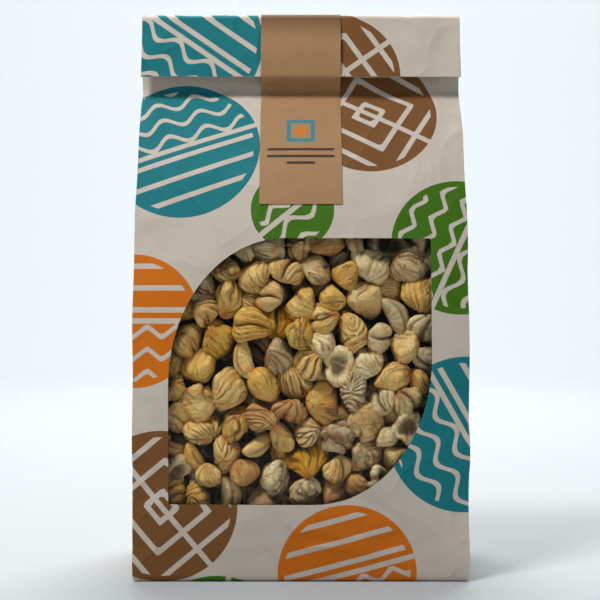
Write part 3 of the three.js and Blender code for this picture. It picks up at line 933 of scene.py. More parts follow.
class CHESTNUTS_OT_paper_bag(bpy.types.Operator):
    """Build the folded paper bag with its window cut out and its print"""

    bl_idname = "chestnuts.paper_bag"
    bl_label = "Paper bag"

    def execute(self, context):
        paper = context.scene.bag_paper
        shape = BagShape(paper)
        columns, rise = sheet_columns(shape), sheet_rows(shape)
        u, s = np.meshgrid(columns, rise)
        v = sheet_length(shape, s)
        points, normals = creased_wall(shape, u, s, v)
        base = points[0].copy()
        base[:, :2] *= 1 - BASE_EDGE / np.array([shape.half_width, shape.half_depth])
        base[:, 2] = 0
        outer = np.concatenate([base[None], points])
        wall = paper.thickness / MM
        room = rise <= ROOM_TOP
        inner = points[room] - normals[room] * wall
        inner[0, :, 2] = wall
        both = np.concatenate([outer.reshape(-1, 3), inner.reshape(-1, 3)])
        faces = shell(outer, 0) + backwards(shell(inner, outer[..., 0].size))
        mesh = mesh_from("paper_bag", both, faces)

        corner = corner_vertices(mesh)
        flat_u = np.concatenate([np.tile(columns, len(rise) + 1), u[room].ravel()])[corner]
        heights = np.repeat(np.concatenate([[0.0], v[:, 0]]), len(columns))
        flat_v = np.concatenate([heights, v[room].ravel()])[corner]
        start, size = face_spans(mesh)
        widest = np.repeat(np.maximum.reduceat(flat_u, start), size)
        wraps = (widest - flat_u > SEAM_JUMP) & (np.repeat(size, size) == 4)
        flat_u = np.where(wraps, flat_u + shape.once_round, flat_u)
        set_sheet_uv(mesh, np.stack([flat_u, flat_v], -1) * MM)

        piece = link_mesh("bag_paper", mesh)
        cutter = window_cutter(shape, context.scene.bag_window)
        cut = piece.modifiers.new("window", "BOOLEAN")
        cut.operation = "DIFFERENCE"
        cut.solver = "MANIFOLD"
        cut.object = cutter
        mesh = evaluated_mesh(piece)
        bpy.data.objects.remove(cutter)
        straighten_front_sheet(shape, mesh)
        lay_print(shape, mesh)
        smooth_with_edges(mesh, BAG_SHARP)
        mesh.materials.clear()
        mesh.materials.append(uncoated_paper(paper))
        ride(piece, "paper_bag")
        return {"FINISHED"}


class CHESTNUTS_OT_window_film(bpy.types.Operator):
    """Build the clear film behind the window"""

    bl_idname = "chestnuts.window_film"
    bl_label = "Window film"

    def execute(self, context):
        shape = BagShape(context.scene.bag_paper)
        window = context.scene.bag_window
        margin = window.film_margin
        x = np.linspace(window.left - margin, window.right + margin, FILM_STEPS) / MM
        z = np.linspace(window.bottom - margin, window.top + margin, FILM_STEPS) / MM
        x, z = np.meshgrid(x, z)
        y = FILM_FACE - shape.panel_depth(x, z)
        mesh = thin_sheet("window_film", np.stack([x, y, z], -1), FILM_THICKNESS)
        mesh.materials.append(clear_film())
        ride(link_mesh("clear_film", mesh), "window_film")
        return {"FINISHED"}


class CHESTNUTS_OT_label_strip(bpy.types.Operator):
    """Build the kraft strip that holds the fold down"""

    bl_idname = "chestnuts.label_strip"
    bl_label = "Label strip"

    def execute(self, context):
        shape = BagShape(context.scene.bag_paper)
        label = context.scene.bag_label
        half = label.width / MM / 2
        over = np.concatenate([
            np.linspace(label.back_end / MM, shape.fold_z, 60),
            np.linspace(shape.fold_z, shape.fold_end, 14)[1:],
            np.linspace(shape.fold_end, shape.length, 16)[1:],
        ])
        across = np.linspace(half, -half, 56)
        x, s = np.meshgrid(across, over)
        away = LABEL_GAP + (FLAP_BULGE + LABEL_BULGE) * shape.flap_bow(s)
        upper = shape.from_spine(x, shape.panel_depth(x, s) + away, s)
        x, z = np.meshgrid(across, np.linspace(LABEL_MEETS, label.front_end / MM, 76))
        lower = np.stack([x, -shape.panel_depth(x, z) - LABEL_GAP, z], -1)
        bridge = np.linspace(0, 1, 12)[1:-1, None, None]
        start, end = upper[-1][None], lower[0][None]
        middle = start + (end - start) * bridge
        middle[..., 1] = (start + (end - start) * smooth_step(0, 1, bridge))[..., 1]
        face = np.concatenate([upper, middle, lower])
        mesh = thin_sheet("label_strip", face, label.thickness / MM)
        u, v = sheet_uv(mesh).T / MM
        mark = label_mark(half - u, v.max() - v - MARK_CENTRE)
        keep_values(mesh, "mark", "FLOAT_VECTOR", "CORNER", mark)
        mesh.materials.append(kraft_paper(label))
        ride(link_mesh("kraft_strip", mesh), "label_strip")
        return {"FINISHED"}


# ---------------------------------------------------------------- forms of the nuts

LINE_SPREAD = 1.12  # more than 1 keeps the lines apart at the tip
FACE_SPAN = 1.4
LEAST_SPREAD = 0.05  # keeps a division or a root away from 0


def hills(points, random, scale, count=7):
    """Smooth random hills over space, about -1 to 1."""
    waves = random.normal(size=(count, 3)) * scale
    phase = random.uniform(0, TURN, count)
    return np.sin(points @ waves.T + phase).sum(-1) / math.sqrt(count)


def hump(value, width, power=2):
    """1 where the value is 0, falling away to both sides."""
    return np.exp(-((value / width) ** power))


def apart(angle):
    """An angle as one between minus and plus half a turn."""
    return np.angle(np.exp(1j * angle))


def lie_across(way):
    """Where each place lies across the nut. Lines of one value run from tip to base,
    close up near both and pass over them side by side."""
    spread = np.sqrt(np.maximum(LINE_SPREAD - way[:, 2] ** 2, LEAST_SPREAD))
    return FACE_SPAN * np.arcsin(np.clip(way[:, 0] / spread, -1, 1))


def furrow_lines(way, random, count, wobble):
    """1 in the bottom of each furrow from tip to base, 0 on the rounded ridges."""
    place = lie_across(way)
    drift = 0.22 * np.sin(2 * place + random.uniform(0, TURN))
    drift = drift + wobble * np.sin(1.5 * way[:, 2] + random.uniform(0, TURN))
    drift = drift + 0.8 * wobble * hills(way, random, 0.9)
    drift = drift + 0.3 * wobble * hills(way, random, 2.6)
    line = np.abs(np.sin(count / 2 * (place + drift) + random.uniform(0, TURN)))
    return (1 - line) ** 2.2, drift


def slits(angle, polar, drift, random, count):
    """1 in the bottom of a few dark slits that run part of the way from tip to base."""
    out = np.zeros(len(angle))
    for _ in range(count):
        off = np.abs(apart(angle + drift - random.uniform(0, TURN)))
        start, end = random.uniform(0.1, 1.0), random.uniform(1.3, 2.6)
        along = smooth_step(start, start + 0.3, polar)
        along = along * (1 - smooth_step(end, end + 0.3, polar))
        out = np.maximum(out, hump(off * np.sin(polar), 0.06) * along)
    return out


def pressed_flat(reach, way, random, sides, near, far, sharp):
    """Cuts a form back to a few flat faces at random distances, with soft edges."""
    for _ in range(sides):
        facing = random.normal(size=3)
        facing = facing / np.linalg.norm(facing)
        flat = random.uniform(near, far) / np.maximum(way @ facing, LEAST_SPREAD)
        both = np.exp(-sharp * reach) + np.exp(-sharp * np.minimum(flat, 3))
        reach = -np.log(both) / sharp
    return reach


def body_of(way, random, heart):
    """A plump nut with a tip above, soft corners and a few faces pressed flat."""
    x, y, z = way.T
    around = np.arctan2(y, x) + random.uniform(0, TURN)
    corners = 0.09 * np.cos(3 * around) + 0.06 * np.cos(2 * around)
    width = 1 - random.uniform(-0.02, 0.2) * z + corners * np.sqrt(x * x + y * y)
    flat = np.where(y > 0, 0.78, 1.0)
    polar = np.arccos(np.clip(z, -1, 1))
    tip = random.uniform(0.05, 0.26) * hump(polar, 0.42)
    base = random.uniform(-0.12, 0.1) * hump(math.pi - polar, 0.5)
    swell = 1 + heart * hills(way, random, 1.9)
    swell = pressed_flat(swell, way, random, 3, 0.68, 0.95, 20)
    return np.stack([x * width, y * width * flat, z + tip + base], -1) * swell[:, None]


def grooves(way, angle, polar, random, furrows, wobble, hold, patch, splits, least=0.0):
    """Furrows that fade in patches, a few slits, and how far their lines drift."""
    lines, drift = furrow_lines(way, random, 2 * random.integers(*furrows), wobble)
    strength = np.clip(hold + 0.6 * hills(way, random, patch), least, 1)
    split = slits(angle, polar, drift, random, random.integers(*splits))
    return lines * strength, split, drift


def shape_ribbed(way, angle, polar, random):
    body = body_of(way, random, 0.09)
    cut, split, drift = grooves(way, angle, polar, random, (5, 9), 0.22, 0.65, 1.6, (2, 6), 0.05)
    body = body * (1 - 0.17 * cut - 0.15 * split)[:, None]
    return body, np.maximum(0.75 * cut, 0.95 * split), drift


def shape_plump(way, angle, polar, random):
    body = body_of(way, random, 0.1)
    cut, split, drift = grooves(way, angle, polar, random, (4, 7), 0.25, 0.35, 1.8, (1, 4))
    body = body * (1 - 0.13 * cut - 0.13 * split)[:, None]
    return body, np.maximum(0.6 * cut, 0.85 * split), drift


def shape_cleft(way, angle, polar, random):
    body = body_of(way, random, 0.09)
    off = apart(angle + math.pi / 2)
    off = off + 0.16 * np.sin(2.2 * way[:, 2] + random.uniform(0, TURN))
    arc = np.abs(off) * np.sin(polar)
    reach = np.clip(0.85 + 0.5 * hills(way, random, 1.1), 0.1, 1)
    cleft = hump(arc, 0.09) * np.sin(polar) ** 0.5 * reach
    lobes = 0.11 * hump(arc - 0.4, 0.24) * reach
    cut, split, drift = grooves(way, angle, polar, random, (5, 9), 0.2, 0.5, 1.8, (1, 4))
    cut = cut * (arc > 0.14)
    grow = 1 + lobes - 0.45 * cleft - 0.15 * cut - 0.13 * split
    dark = np.maximum(np.maximum(0.98 * cleft, 0.7 * cut), 0.9 * split)
    return body * grow[:, None], dark, drift


# The cup's profile from the middle of its hollow over the rim to its back: out, height
CUP_PROFILE = np.array([
    (0.0, -0.22), (0.26, -0.2), (0.44, 0.02), (0.56, 0.4), (0.68, 0.62), (0.84, 0.64),
    (1.0, 0.44), (1.06, 0.12), (0.98, -0.28), (0.74, -0.62), (0.4, -0.82), (0.0, -0.88),
])
PROFILE_STEPS = 221
PROFILE_SOFT = 7  # steps to each side that the profile is averaged over


def rounded_profile(along):
    """The cup's profile at each place along it, with its corners softened."""
    fine = np.linspace(0, 1, PROFILE_STEPS)
    soft = np.ones(2 * PROFILE_SOFT + 1) / (2 * PROFILE_SOFT + 1)
    for values in CUP_PROFILE.T:
        line = np.interp(fine, np.linspace(0, 1, len(CUP_PROFILE)), values)
        padded = np.pad(line, PROFILE_SOFT, mode="reflect", reflect_type="odd")
        yield np.interp(along, fine, np.convolve(padded, soft, "valid"))


def shape_cup(way, angle, polar, random):
    along = polar / math.pi
    out, high = rounded_profile(along)
    a, b, c = random.uniform(0, TURN, 3)
    out = out * (1 + 0.1 * np.sin(2 * angle + a) + 0.07 * np.sin(3 * angle + b))
    out = out * (1 - 0.24 * hump(apart(angle - c), 0.3))
    rim = 0.2 * np.sin(angle + b) + 0.14 * np.sin(2 * angle + c)
    high = high + out * (rim + 0.04 * np.sin(5 * angle + a))
    x, z = out * np.cos(angle), out * np.sin(angle)
    fold = hump(x + 0.25 * z * z - 0.1, 0.12) * hump(out, 0.5, 4)
    high = high + 0.34 * fold
    body = np.stack([x, -high, z], -1) * (1 + 0.05 * hills(way, random, 2.4))[:, None]
    hollow = smooth_step(0.34, 0.1, along) * (1 - 0.6 * fold)
    lines, drift = furrow_lines(way, random, 14, 0.2)
    back = smooth_step(0.45, 0.6, along) * np.sin(polar)
    dark = 0.4 * hollow + 0.25 * hump(along, 0.1) + 0.3 * lines * back
    return body * (1 - 0.05 * lines * back)[:, None], dark, drift


def shape_crumpled(way, angle, polar, random):
    body = body_of(way, random, 0.08)
    bent = way + 0.16 * np.stack([hills(way, random, 2.2) for _ in range(3)], -1)
    grow = 1 + 0.06 * hills(bent, random, 2.4)
    dark = np.zeros(len(way))
    for scale, width, depth in ((1.5, 0.15, 0.14), (2.6, 0.22, 0.1), (4.0, 0.3, 0.05)):
        away = hills(bent, random, scale, 5)
        reach = np.clip(0.75 + 0.8 * hills(way, random, 1.4), 0, 1)
        crease = hump(away, width) * reach
        lip = hump(np.abs(away) - 2.6 * width, 1.4 * width) * reach
        grow = grow - depth * crease + 0.3 * depth * lip
        dark = np.maximum(dark, crease * (0.4 + 3.5 * depth))
    lines, drift = furrow_lines(bent, random, 14, 0.4)
    grow = grow - 0.03 * lines
    return body * grow[:, None], np.clip(dark + 0.15 * lines, 0, 1), drift


def shape_sliver(way, angle, polar, random):
    x, y, z = way.T
    bend = random.uniform(0.3, 0.8)
    swell = 1 + 0.08 * hills(way, random, 2.0)
    groove = hump(z, 0.2) * (y < 0) * hump(x, 0.8, 4)
    body = np.stack([x, y * (1 - 0.35 * groove), z + bend * (x * x - 0.4)], -1)
    lines, drift = furrow_lines(way, random, 10, 0.2)
    return body * (swell - 0.04 * lines)[:, None], 0.4 * groove + 0.15 * lines, drift


def shape_wedge(way, angle, polar, random):
    reach = pressed_flat(np.full(len(way), 1.0), way, random, 5, 0.5, 0.72, 34)
    reach = reach * (1 + 0.05 * hills(way, random, 2.0) + 0.02 * hills(way, random, 4.5))
    lines, drift = furrow_lines(way, random, 16, 0.3)
    lines = lines * np.clip(0.5 + 0.7 * hills(way, random, 1.7), 0, 1)
    split = slits(angle, polar, drift, random, 3)
    reach = reach * (1 - 0.04 * lines - 0.08 * split)
    return way * reach[:, None] * 1.1, np.maximum(0.4 * lines, 0.8 * split), drift


class NutKind(NamedTuple):
    """One kind of nut in the pile."""

    name: str
    shape: object
    axes: tuple  # half-axes as shares of the radius
    share: float  # how common it is
    turn: float  # how far it turns from the film, radians
    variants: int
    sides: int
    bands: int
    tones: tuple  # from pale to brown
    fine: float  # strength of the fine grooves
    tipped: bool  # every second variant has a browner tip
    pitted: bool  # every third one has a dark pit at its tip


NUT_KINDS = [
    NutKind("ribbed", shape_ribbed, (1.1, 0.84, 1.02), 0.24, 2.6, 10, 84, 26, (0.05, 0.92),
            0.9, True, True),
    NutKind("plump", shape_plump, (1.08, 0.86, 1.0), 0.18, 2.8, 9, 72, 25, (0.1, 0.92),
            1.0, True, True),
    NutKind("cleft", shape_cleft, (1.12, 0.86, 0.98), 0.22, 2.0, 10, 74, 26, (0.1, 0.9),
            0.8, True, False),
    NutKind("cup", shape_cup, (1.1, 0.7, 1.04), 0.09, 0.9, 5, 60, 32, (0.0, 0.12),
            0.35, False, False),
    NutKind("crumpled", shape_crumpled, (1.1, 0.84, 0.94), 0.13, 3.0, 7, 72, 32, (0.0, 0.85),
            0.6, False, False),
    NutKind("sliver", shape_sliver, (1.05, 0.5, 0.55), 0.07, 1.6, 4, 36, 20, (0.0, 0.9),
            0.4, False, False),
    NutKind("wedge", shape_wedge, (1.05, 0.8, 0.9), 0.07, 2.6, 5, 60, 34, (0.35, 0.8),
            0.4, False, False),
]


UNEVEN = 0.012  # small bumps all over, as a share of the size
DARK_POWER = 0.65  # less than 1 spreads the brown skin past the bottom of a furrow


def nut_variant(kind, index):
    """One nut of unit size as a closed mesh, with its grain and marks stored on it."""
    sides, bands = kind.sides, kind.bands
    random = np.random.default_rng(1000 * (1 + NUT_KINDS.index(kind)) + index)
    angle, polar = np.meshgrid(
        np.arange(sides) * TURN / sides, np.linspace(0, math.pi, bands + 1)[1:-1]
    )
    angle = np.concatenate([[0.0], angle.ravel(), [0.0]])
    polar = np.concatenate([[0.0], polar.ravel(), [math.pi]])
    out = np.sin(polar)
    way = np.stack([out * np.cos(angle), out * np.sin(angle), np.cos(polar)], -1)
    points, dark, drift = kind.shape(way, angle, polar, random)
    points = points * (1 + UNEVEN * hills(way, random, 6.5, 12))[:, None]
    faces = turned(ring_faces(bands - 1, sides, 1))
    last = len(points) - 1
    for here, there in zip(range(sides), [*range(1, sides), 0]):
        faces.append((0, 1 + here, 1 + there))
        faces.append((last - sides + here, last, last - sides + there))
    mesh = mesh_from(f"{kind.name}_{index:02d}", points / MM, faces)
    if kind.shape is shape_cup:
        mesh.flip_normals()
    mesh.shade_smooth()
    tip = 0.9 * hump(polar, 0.4) * (kind.tipped and index % 2 == 0)
    pit = 0.95 * hump(polar, 0.09) * (kind.pitted and index % 3 == 1)
    dark = np.clip(np.maximum(dark, pit), 0, 1) ** DARK_POWER
    keep_values(mesh, "grain", "FLOAT", "POINT", lie_across(way) + drift)
    marks = np.stack([dark, tip, np.full(len(points), kind.fine)], -1)
    keep_values(mesh, "marks", "FLOAT_VECTOR", "POINT", marks)
    return mesh


# ---------------------------------------------------------------- the pile

CONTENT_FACE = 3.0  # nuts stay this far behind the outside of the paper
PILE_HALF_WIDTH = 72.0
PILE_BOTTOM = 28.0
PILE_TOP = 174.0
PILE_DEPTH = 28.0
NUT_FRONT = 0.86  # how near a nut's middle gets to the film, as a share of its radius
NUT_NEST = 0.9  # how close two nuts lie, as a share of both radii
SETTLE_STEPS = 160
SETTLE_PUSH = 0.42
SETTLE_PULL = 0.25
SETTLE_DROP = 0.03
CORE_RECESS = 19.0
CORE_GAP = 1.5
CORE_TAPER = 12.0
SIDE_GAP = 1.0
SIDE_REACH = 38.0
SHADE_FROM_DEPTH = 5.0  # painted shade: nuts this near the film are left as they are, and those further in are painted darker, for the shade deep in the pile
SHADE_FULL_DEPTH = 17.0
EDGE_SHADE = (-2.0, 8.0)  # painted shade: the nuts are painted darker up to here from the window's edge, where the paper shades them
SEEN_PAST_EDGE = 5.0
SEEN_DEPTH = 24.0
FILL_TOP = 190.0
GOLD_PLACES = [(-7, 122), (-12, 61)]  # two bright yellow nuts, across and up
GOLD_KINDS = 3  # only the first kinds are gold
FAR = 50
LARGE_FIRST = 4
DRAW_STEP = 16807
DRAW_RANGE = 2**31 - 1


def make_random(seed):
    """A plain multiplicative generator, the same everywhere."""
    state = seed
    while True:
        state = (state * DRAW_STEP) % DRAW_RANGE
        yield state / DRAW_RANGE


def film_face(shape, x, z):
    """The furthest forward that nuts reach, at places across and up."""
    return CONTENT_FACE - shape.panel_depth(x, z)


def settle(shape, nuts):
    """Nuts scattered behind the window, then pushed apart and against the film."""
    draw = make_random(nuts.seed)
    places, radii, kinds, turns = [], [], [], []
    least, spread = nuts.least_radius / MM, nuts.radius_range / MM
    shares = np.cumsum([kind.share for kind in NUT_KINDS])
    for _ in range(nuts.count):
        x = (next(draw) * 2 - 1) * PILE_HALF_WIDTH
        z = PILE_BOTTOM + (PILE_TOP - PILE_BOTTOM) * next(draw)
        places.append((x, film_face(shape, x, z) + next(draw) * PILE_DEPTH, z))
        radii.append(least + spread * next(draw))
        pick = next(draw)
        kind = int(np.argmax(shares > pick))
        kinds.append(kind)
        tilt, spin, lean = next(draw) - 0.5, next(draw) * TURN, next(draw) - 0.5
        turns.append((tilt * NUT_KINDS[kind].turn, spin, lean * NUT_KINDS[kind].turn))
    places, radii = np.array(places), np.array(radii)
    reach = (radii[:, None] + radii[None, :]) * NUT_NEST
    for _ in range(SETTLE_STEPS):
        between = places[:, None] - places[None, :]
        distance = np.sqrt((between**2).sum(-1))
        np.fill_diagonal(distance, 1e9)
        push = SETTLE_PUSH * np.maximum(reach - distance, 0) / np.maximum(distance, 0.001)
        moved = (between * push[..., None]).sum(1) + (0, -SETTLE_PULL, -SETTLE_DROP)
        x, y, z = (places + moved).T
        x = np.clip(x, -PILE_HALF_WIDTH, PILE_HALF_WIDTH)
        z = np.clip(z, PILE_BOTTOM, PILE_TOP)
        film = film_face(shape, x, z)
        y = np.clip(y, film + radii * NUT_FRONT, film + PILE_DEPTH)
        places = np.stack([x, y, z], -1)
    return places, radii, np.array(kinds), np.array(turns)


def inside_window(window, x, z):
    """How far each place lies inside the window's outline, in mm; less than 0 outside."""
    outline = leaf_outline(window)
    nearest = np.full(np.shape(x), 1e9)
    inside = np.zeros(np.shape(x), bool)
    for (ox, oz), (ax, az) in zip(outline, np.roll(outline, -1, 0) - outline):
        long = ax * ax + az * az
        if long < 1e-9:
            continue
        t = np.clip(((x - ox) * ax + (z - oz) * az) / long, 0, 1)
        nearest = np.minimum(nearest, np.hypot(x - ox - t * ax, z - oz - t * az))
        spans = (oz > z) != (oz + az > z)
        inside ^= spans & (x < ox + (z - oz) * ax / (az or 1e-9))
    return np.where(inside, nearest, -nearest)


def can_be_seen(window, shape, places, radii):
    """The nuts near enough to the film and the window to show at any angle."""
    x, y, z = places.T
    near = inside_window(window, x, z) > -SEEN_PAST_EDGE - radii
    return near & (y - film_face(shape, x, z) < SEEN_DEPTH)


def golden_nuts(shape, nuts, places, radii, kinds):
    """The large nuts against the film that lie nearest to the gold ones' places."""
    x, y, z = places.T
    largest = (nuts.least_radius + nuts.radius_range) / MM
    unfit = np.abs(y - film_face(shape, x, z) - radii) + FAR * (kinds >= GOLD_KINDS)
    unfit = unfit + LARGE_FIRST * (largest - radii)
    away = [np.hypot(x - across, z - up) + unfit for across, up in GOLD_PLACES]
    return {int(np.argmin(distance)) for distance in away}


def scatter_tree():
    """A node tree that puts one of the variants on each point, turned and sized."""
    tree = bpy.data.node_groups.new("scatter_nuts", "GeometryNodeTree")
    for label, kind, way in (
        ("Points", "NodeSocketGeometry", "INPUT"),
        ("Variants", "NodeSocketCollection", "INPUT"),
        ("Overall size", "NodeSocketFloat", "INPUT"),
        ("Finish", "NodeSocketMaterial", "INPUT"),
        ("Nuts", "NodeSocketGeometry", "OUTPUT"),
    ):
        tree.interface.new_socket(label, in_out=way, socket_type=kind)
    points, variants, overall, finish = list(add(tree, "NodeGroupInput").outputs)[:4]
    store = {"Collection": variants, "Separate Children": True, "Reset Children": True}
    source = add(tree, "GeometryNodeCollectionInfo", store)
    pick, turn, size = (
        add(tree, "GeometryNodeInputNamedAttribute", {"Name": name}, data_type=kind)
        for name, kind in (("variant", "INT"), ("turn", "FLOAT_VECTOR"), ("size", "FLOAT_VECTOR"))
    )
    sized = add(tree, "ShaderNodeVectorMath", {0: size, "Scale": overall}, operation="SCALE")
    placing = {
        "Points": points,
        "Instance": source,
        "Pick Instance": True,
        "Instance Index": pick,
        "Rotation": add(tree, "FunctionNodeEulerToRotation", {0: turn}),
        "Scale": sized,
    }
    placed = add(tree, "GeometryNodeInstanceOnPoints", placing)
    real = add(tree, "GeometryNodeRealizeInstances", {0: placed})
    done = add(tree, "GeometryNodeSetMaterial", {"Geometry": real, "Material": finish})
    add(tree, "NodeGroupOutput", {0: done})
    return tree


def turn_matrix(turn):
    """Turned about X, then Y, then Z."""
    out = np.eye(3)
    for (i, j), angle in zip([(1, 2), (2, 0), (0, 1)], turn):
        c, s = math.cos(angle), math.sin(angle)
        step = np.eye(3)
        step[i, i], step[i, j], step[j, i], step[j, j] = c, -s, s, c
        out = step @ out
    return out


def draw_in(shape, body, place):
    """Moves a nut's place in until its body clears the film and the folded side."""
    x, y, z = body.T
    place[1] += max(float((film_face(shape, x, z) - y).max()), 0)
    wall = shape.side_width(np.clip(y, -SIDE_REACH, SIDE_REACH), z) - SIDE_GAP
    place[0] -= max(float((np.abs(x) - wall).max()), 0) * np.sign(place[0])


def scatter(cloud, tree, variants, finish):
    """Runs the node tree on a cloud of points and makes the result a plain mesh."""
    modifier = cloud.modifiers.new("scatter", "NODES")
    modifier.node_group = tree
    values = {"Variants": variants, "Overall size": MM, "Finish": finish}
    for item in tree.interface.items_tree:
        if item.in_out == "INPUT" and item.name in values:
            modifier[item.identifier] = values[item.name]
    mesh = evaluated_mesh(cloud)
    for name in ("variant", "turn", "size"):
        if name in mesh.attributes:
            mesh.attributes.remove(mesh.attributes[name])
    return mesh


def painted_pile_shade(shape, window, mesh):
    """Painted shade: nuts are painted darker further into the pile and towards the window's edge,
    for the shade that falls there.
    """
    x, y, z = vertex_places(mesh).T / MM
    depth = y - film_face(shape, x, z)
    # painted shade: darker the further the nut lies behind the film
    clean = 1 - 0.88 * smooth_step(SHADE_FROM_DEPTH, SHADE_FULL_DEPTH, depth)
    # painted shade: darker towards the window's edge, as if shaded by the paper
    clean = clean * (0.45 + 0.55 * smooth_step(*EDGE_SHADE, inside_window(window, x, z)))
    keep_values(mesh, "clean", "FLOAT", "POINT", clean)


class CHESTNUTS_OT_nuts(bpy.types.Operator):
    """Model each kind of nut and scatter them behind the window"""

    bl_idname = "chestnuts.nuts"
    bl_label = "Chestnuts"

    def execute(self, context):
        nuts, window = context.scene.bag_nuts, context.scene.bag_window
        shape = BagShape(context.scene.bag_paper)
        places, radii, kinds, turns = settle(shape, nuts)
        seen = can_be_seen(window, shape, places, radii)
        places, radii, kinds, turns = (a[seen] for a in (places, radii, kinds, turns))
        finish = dried_flesh(nuts)
        tree = scatter_tree()
        random = np.random.default_rng(nuts.seed)
        tones = random.uniform(0, 1, len(radii))
        picks = random.integers(0, 1000, len(radii))
        golden = golden_nuts(shape, nuts, places, radii, kinds)
        for index, kind in enumerate(NUT_KINDS):
            variants = bpy.data.collections.new(f"{kind.name}_variants")
            meshes = [nut_variant(kind, i) for i in range(kind.variants)]
            for mesh in meshes:
                variants.objects.link(bpy.data.objects.new(mesh.name, mesh))
            outlines = [vertex_places(mesh) for mesh in meshes]
            mine = np.flatnonzero(kinds == index)
            pick = picks[mine] % kind.variants
            size = radii[mine, None] * np.array(kind.axes)[None]
            at = places[mine].copy()
            for row, turn in enumerate(turns[mine]):
                body = outlines[pick[row]] * size[row] @ turn_matrix(turn).T + at[row]
                draw_in(shape, body, at[row])
            tone = kind.tones[0] + (kind.tones[1] - kind.tones[0]) * tones[mine]
            tone = np.where([nut in golden for nut in mine], 1.0, tone)
            points = mesh_from(f"{kind.name}_points", at, [])
            keep_values(points, "variant", "INT", "POINT", pick)
            keep_values(points, "turn", "FLOAT_VECTOR", "POINT", turns[mine])
            keep_values(points, "size", "FLOAT_VECTOR", "POINT", size)
            keep_values(points, "tone", "FLOAT", "POINT", tone)
            piece = link_mesh(f"{kind.name}_nuts", points)
            painted_pile_shade(shape, window, scatter(piece, tree, variants, finish))
            ride(piece, "chestnuts")
            for variant in list(variants.objects):
                bpy.data.objects.remove(variant)
            bpy.data.collections.remove(variants)
        return {"FINISHED"}


class CHESTNUTS_OT_fill(bpy.types.Operator):
    """Build the fill behind the nuts that show, painted dark for the shade inside the pile"""

    bl_idname = "chestnuts.fill"
    bl_label = "Fill"

    def execute(self, context):
        shape = BagShape(context.scene.bag_paper)
        u, s = np.meshgrid(sheet_columns(shape)[::2], np.linspace(2, FILL_TOP, 60))
        wall = shape.wall(u, s)
        x, y, z = np.moveaxis(wall - grid_normals(wall, True) * CORE_GAP, -1, 0)
        y = np.maximum(y, film_face(shape, x, z) + CORE_RECESS)
        side = shape.side_width(y, z) - CORE_GAP
        taper = 1 - 0.25 * smooth_step(FILL_TOP - CORE_TAPER, FILL_TOP, s)
        points = np.stack([np.clip(x, -side, side) * taper, y * taper, z], -1)
        rows, count = points.shape[:2]
        flat = points.reshape(-1, 3)
        ends = np.stack([points[0].mean(0), points[-1].mean(0)])
        low, high, top = len(flat), len(flat) + 1, (rows - 1) * count
        faces = ring_faces(rows, count)
        for here, there in zip(range(count), [*range(1, count), 0]):
            faces += [(low, there, here), (high, top + here, top + there)]
        mesh = mesh_from("heap_core", np.concatenate([flat, ends]), faces)
        mesh.shade_smooth()
        mesh.materials.append(shaded_fill())
        ride(link_mesh("heap_core", mesh), "chestnuts")
        return {"FINISHED"}


# ---------------------------------------------------------------- stage

FLOOR_SIDES = 96
FLOOR_FLAT = 1.4  # radius of the flat floor, m
FLOOR_BEND = 0.9  # radius of its sweep up to the backdrop
FLOOR_TOP = 2.6
SKY_STRENGTH = 0.22
CAMERA_SHIFT = -0.0004
SENSOR = 36

# Each light: name, place and aim in m, size in m, power in W
LIGHTS = [
    ("key", (-0.36, -0.42, 1.00), (0, 0, 0.15), 0.26, 7.6),
    ("top", (0.1, 0.4, 1.35), (0, 0, 0), 0.6, 6.5),
    ("fill", (1.4, -1.2, 0.5), (0, 0, 0.12), 1.4, 2.5),
    ("backdrop", (0, 0.7, 1.9), (0, 2.3, 0.6), 1.2, 62),
]


def area_light(name, place, aim, size, power):
    light = bpy.data.lights.new(name, "AREA")
    light.shape = "DISK"
    light.size = size
    light.energy = power
    lamp = bpy.data.objects.new(name, light)
    lamp.location = place
    x, y, z = np.array(aim, float) - np.array(place, float)
    lean = math.acos(-z / math.hypot(x, y, z))
    lamp.rotation_euler = (lean, 0, math.atan2(y, x) - math.pi / 2)
    bpy.context.scene.collection.objects.link(lamp)


def studio_floor():
    """A round floor that sweeps up into a wall on every side."""
    bend = np.linspace(0, math.pi / 2, 14)
    edge = FLOOR_FLAT + FLOOR_BEND
    out = np.concatenate([[0.02, 0.5, 1.0], FLOOR_FLAT + FLOOR_BEND * np.sin(bend), [edge]])
    up = np.concatenate([[0, 0, 0], FLOOR_BEND * (1 - np.cos(bend)), [FLOOR_TOP]])
    turn = np.arange(FLOOR_SIDES) * TURN / FLOOR_SIDES
    x, y = np.outer(out, np.cos(turn)), np.outer(out, np.sin(turn))
    z = np.broadcast_to(up[:, None], x.shape)
    faces = [tuple(range(FLOOR_SIDES)), *turned(ring_faces(len(out), FLOOR_SIDES))]
    mesh = mesh_from("studio_floor", np.stack([x, y, z], -1).reshape(-1, 3) / MM, faces)
    mesh.shade_smooth()
    mesh.materials.append(matt_paper())
    return link_mesh("studio_floor", mesh)


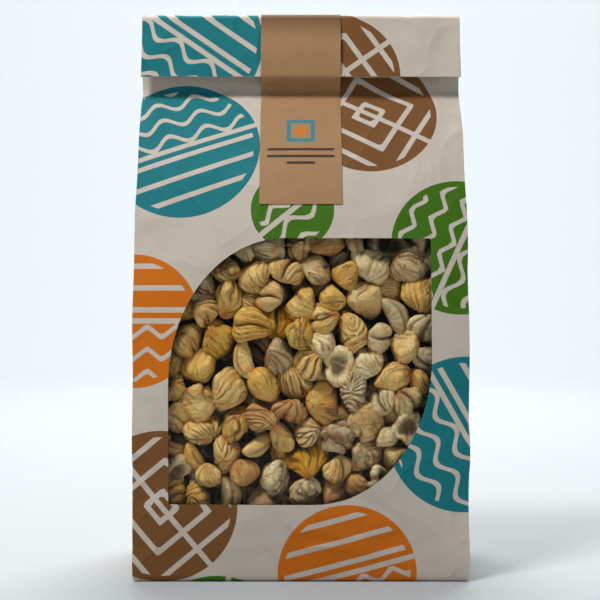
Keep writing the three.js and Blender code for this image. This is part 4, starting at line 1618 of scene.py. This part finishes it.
class CHESTNUTS_OT_stage(bpy.types.Operator):
    """Set up the floor, the light and the camera"""

    bl_idname = "chestnuts.stage"
    bl_label = "Stage"

    def execute(self, context):
        stage = context.scene.bag_stage
        studio_floor()
        world = bpy.data.worlds.new("studio")
        world.use_nodes = True
        back = world.node_tree.nodes["Background"]
        back.inputs["Color"].default_value = (*linear("eef3f6"), 1)
        back.inputs["Strength"].default_value = SKY_STRENGTH
        context.scene.world = world
        for light in LIGHTS:
            area_light(*light)
        camera = bpy.data.cameras.new("camera")
        camera.lens = stage.lens
        camera.sensor_width = SENSOR
        eye = bpy.data.objects.new("camera", camera)
        eye.location = (CAMERA_SHIFT, -stage.camera_distance, stage.camera_height)
        eye.rotation_euler = (math.pi / 2, 0, 0)
        context.scene.collection.objects.link(eye)
        context.scene.camera = eye
        context.scene.view_settings.view_transform = "Standard"
        return {"FINISHED"}


class CHESTNUTS_PT_panel(bpy.types.Panel):
    """Lists the settings and the pieces"""

    bl_idname = "CHESTNUTS_PT_panel"
    bl_label = "Chestnut bag"
    bl_space_type = "VIEW_3D"
    bl_region_type = "UI"
    bl_category = "Chestnut bag"

    def draw(self, context):
        for key, _ in SETTINGS:
            group = getattr(context.scene, key)
            box = self.layout.box()
            for name in group.__annotations__:
                box.prop(group, name)
        for operator in OPERATORS:
            self.layout.operator(operator.bl_idname)


SETTINGS = [
    ("bag_paper", PaperSettings),
    ("bag_window", WindowSettings),
    ("bag_label", LabelSettings),
    ("bag_nuts", NutSettings),
    ("bag_stage", StageSettings),
]
OPERATORS = [
    CHESTNUTS_OT_paper_bag,
    CHESTNUTS_OT_window_film,
    CHESTNUTS_OT_label_strip,
    CHESTNUTS_OT_fill,
    CHESTNUTS_OT_nuts,
    CHESTNUTS_OT_stage,
]


def register():
    for key, group in SETTINGS:
        bpy.utils.register_class(group)
        setattr(bpy.types.Scene, key, PointerProperty(type=group))
    for item in OPERATORS:
        bpy.utils.register_class(item)
    bpy.utils.register_class(CHESTNUTS_PT_panel)


def unregister():
    bpy.utils.unregister_class(CHESTNUTS_PT_panel)
    for item in reversed(OPERATORS):
        bpy.utils.unregister_class(item)
    for key, group in reversed(SETTINGS):
        delattr(bpy.types.Scene, key)
        bpy.utils.unregister_class(group)


def main():
    register()
    for operator in OPERATORS:
        getattr(bpy.ops.chestnuts, operator.bl_idname.split(".")[1])()
    bpy.context.view_layer.update()


if __name__ == "__main__":
    main()
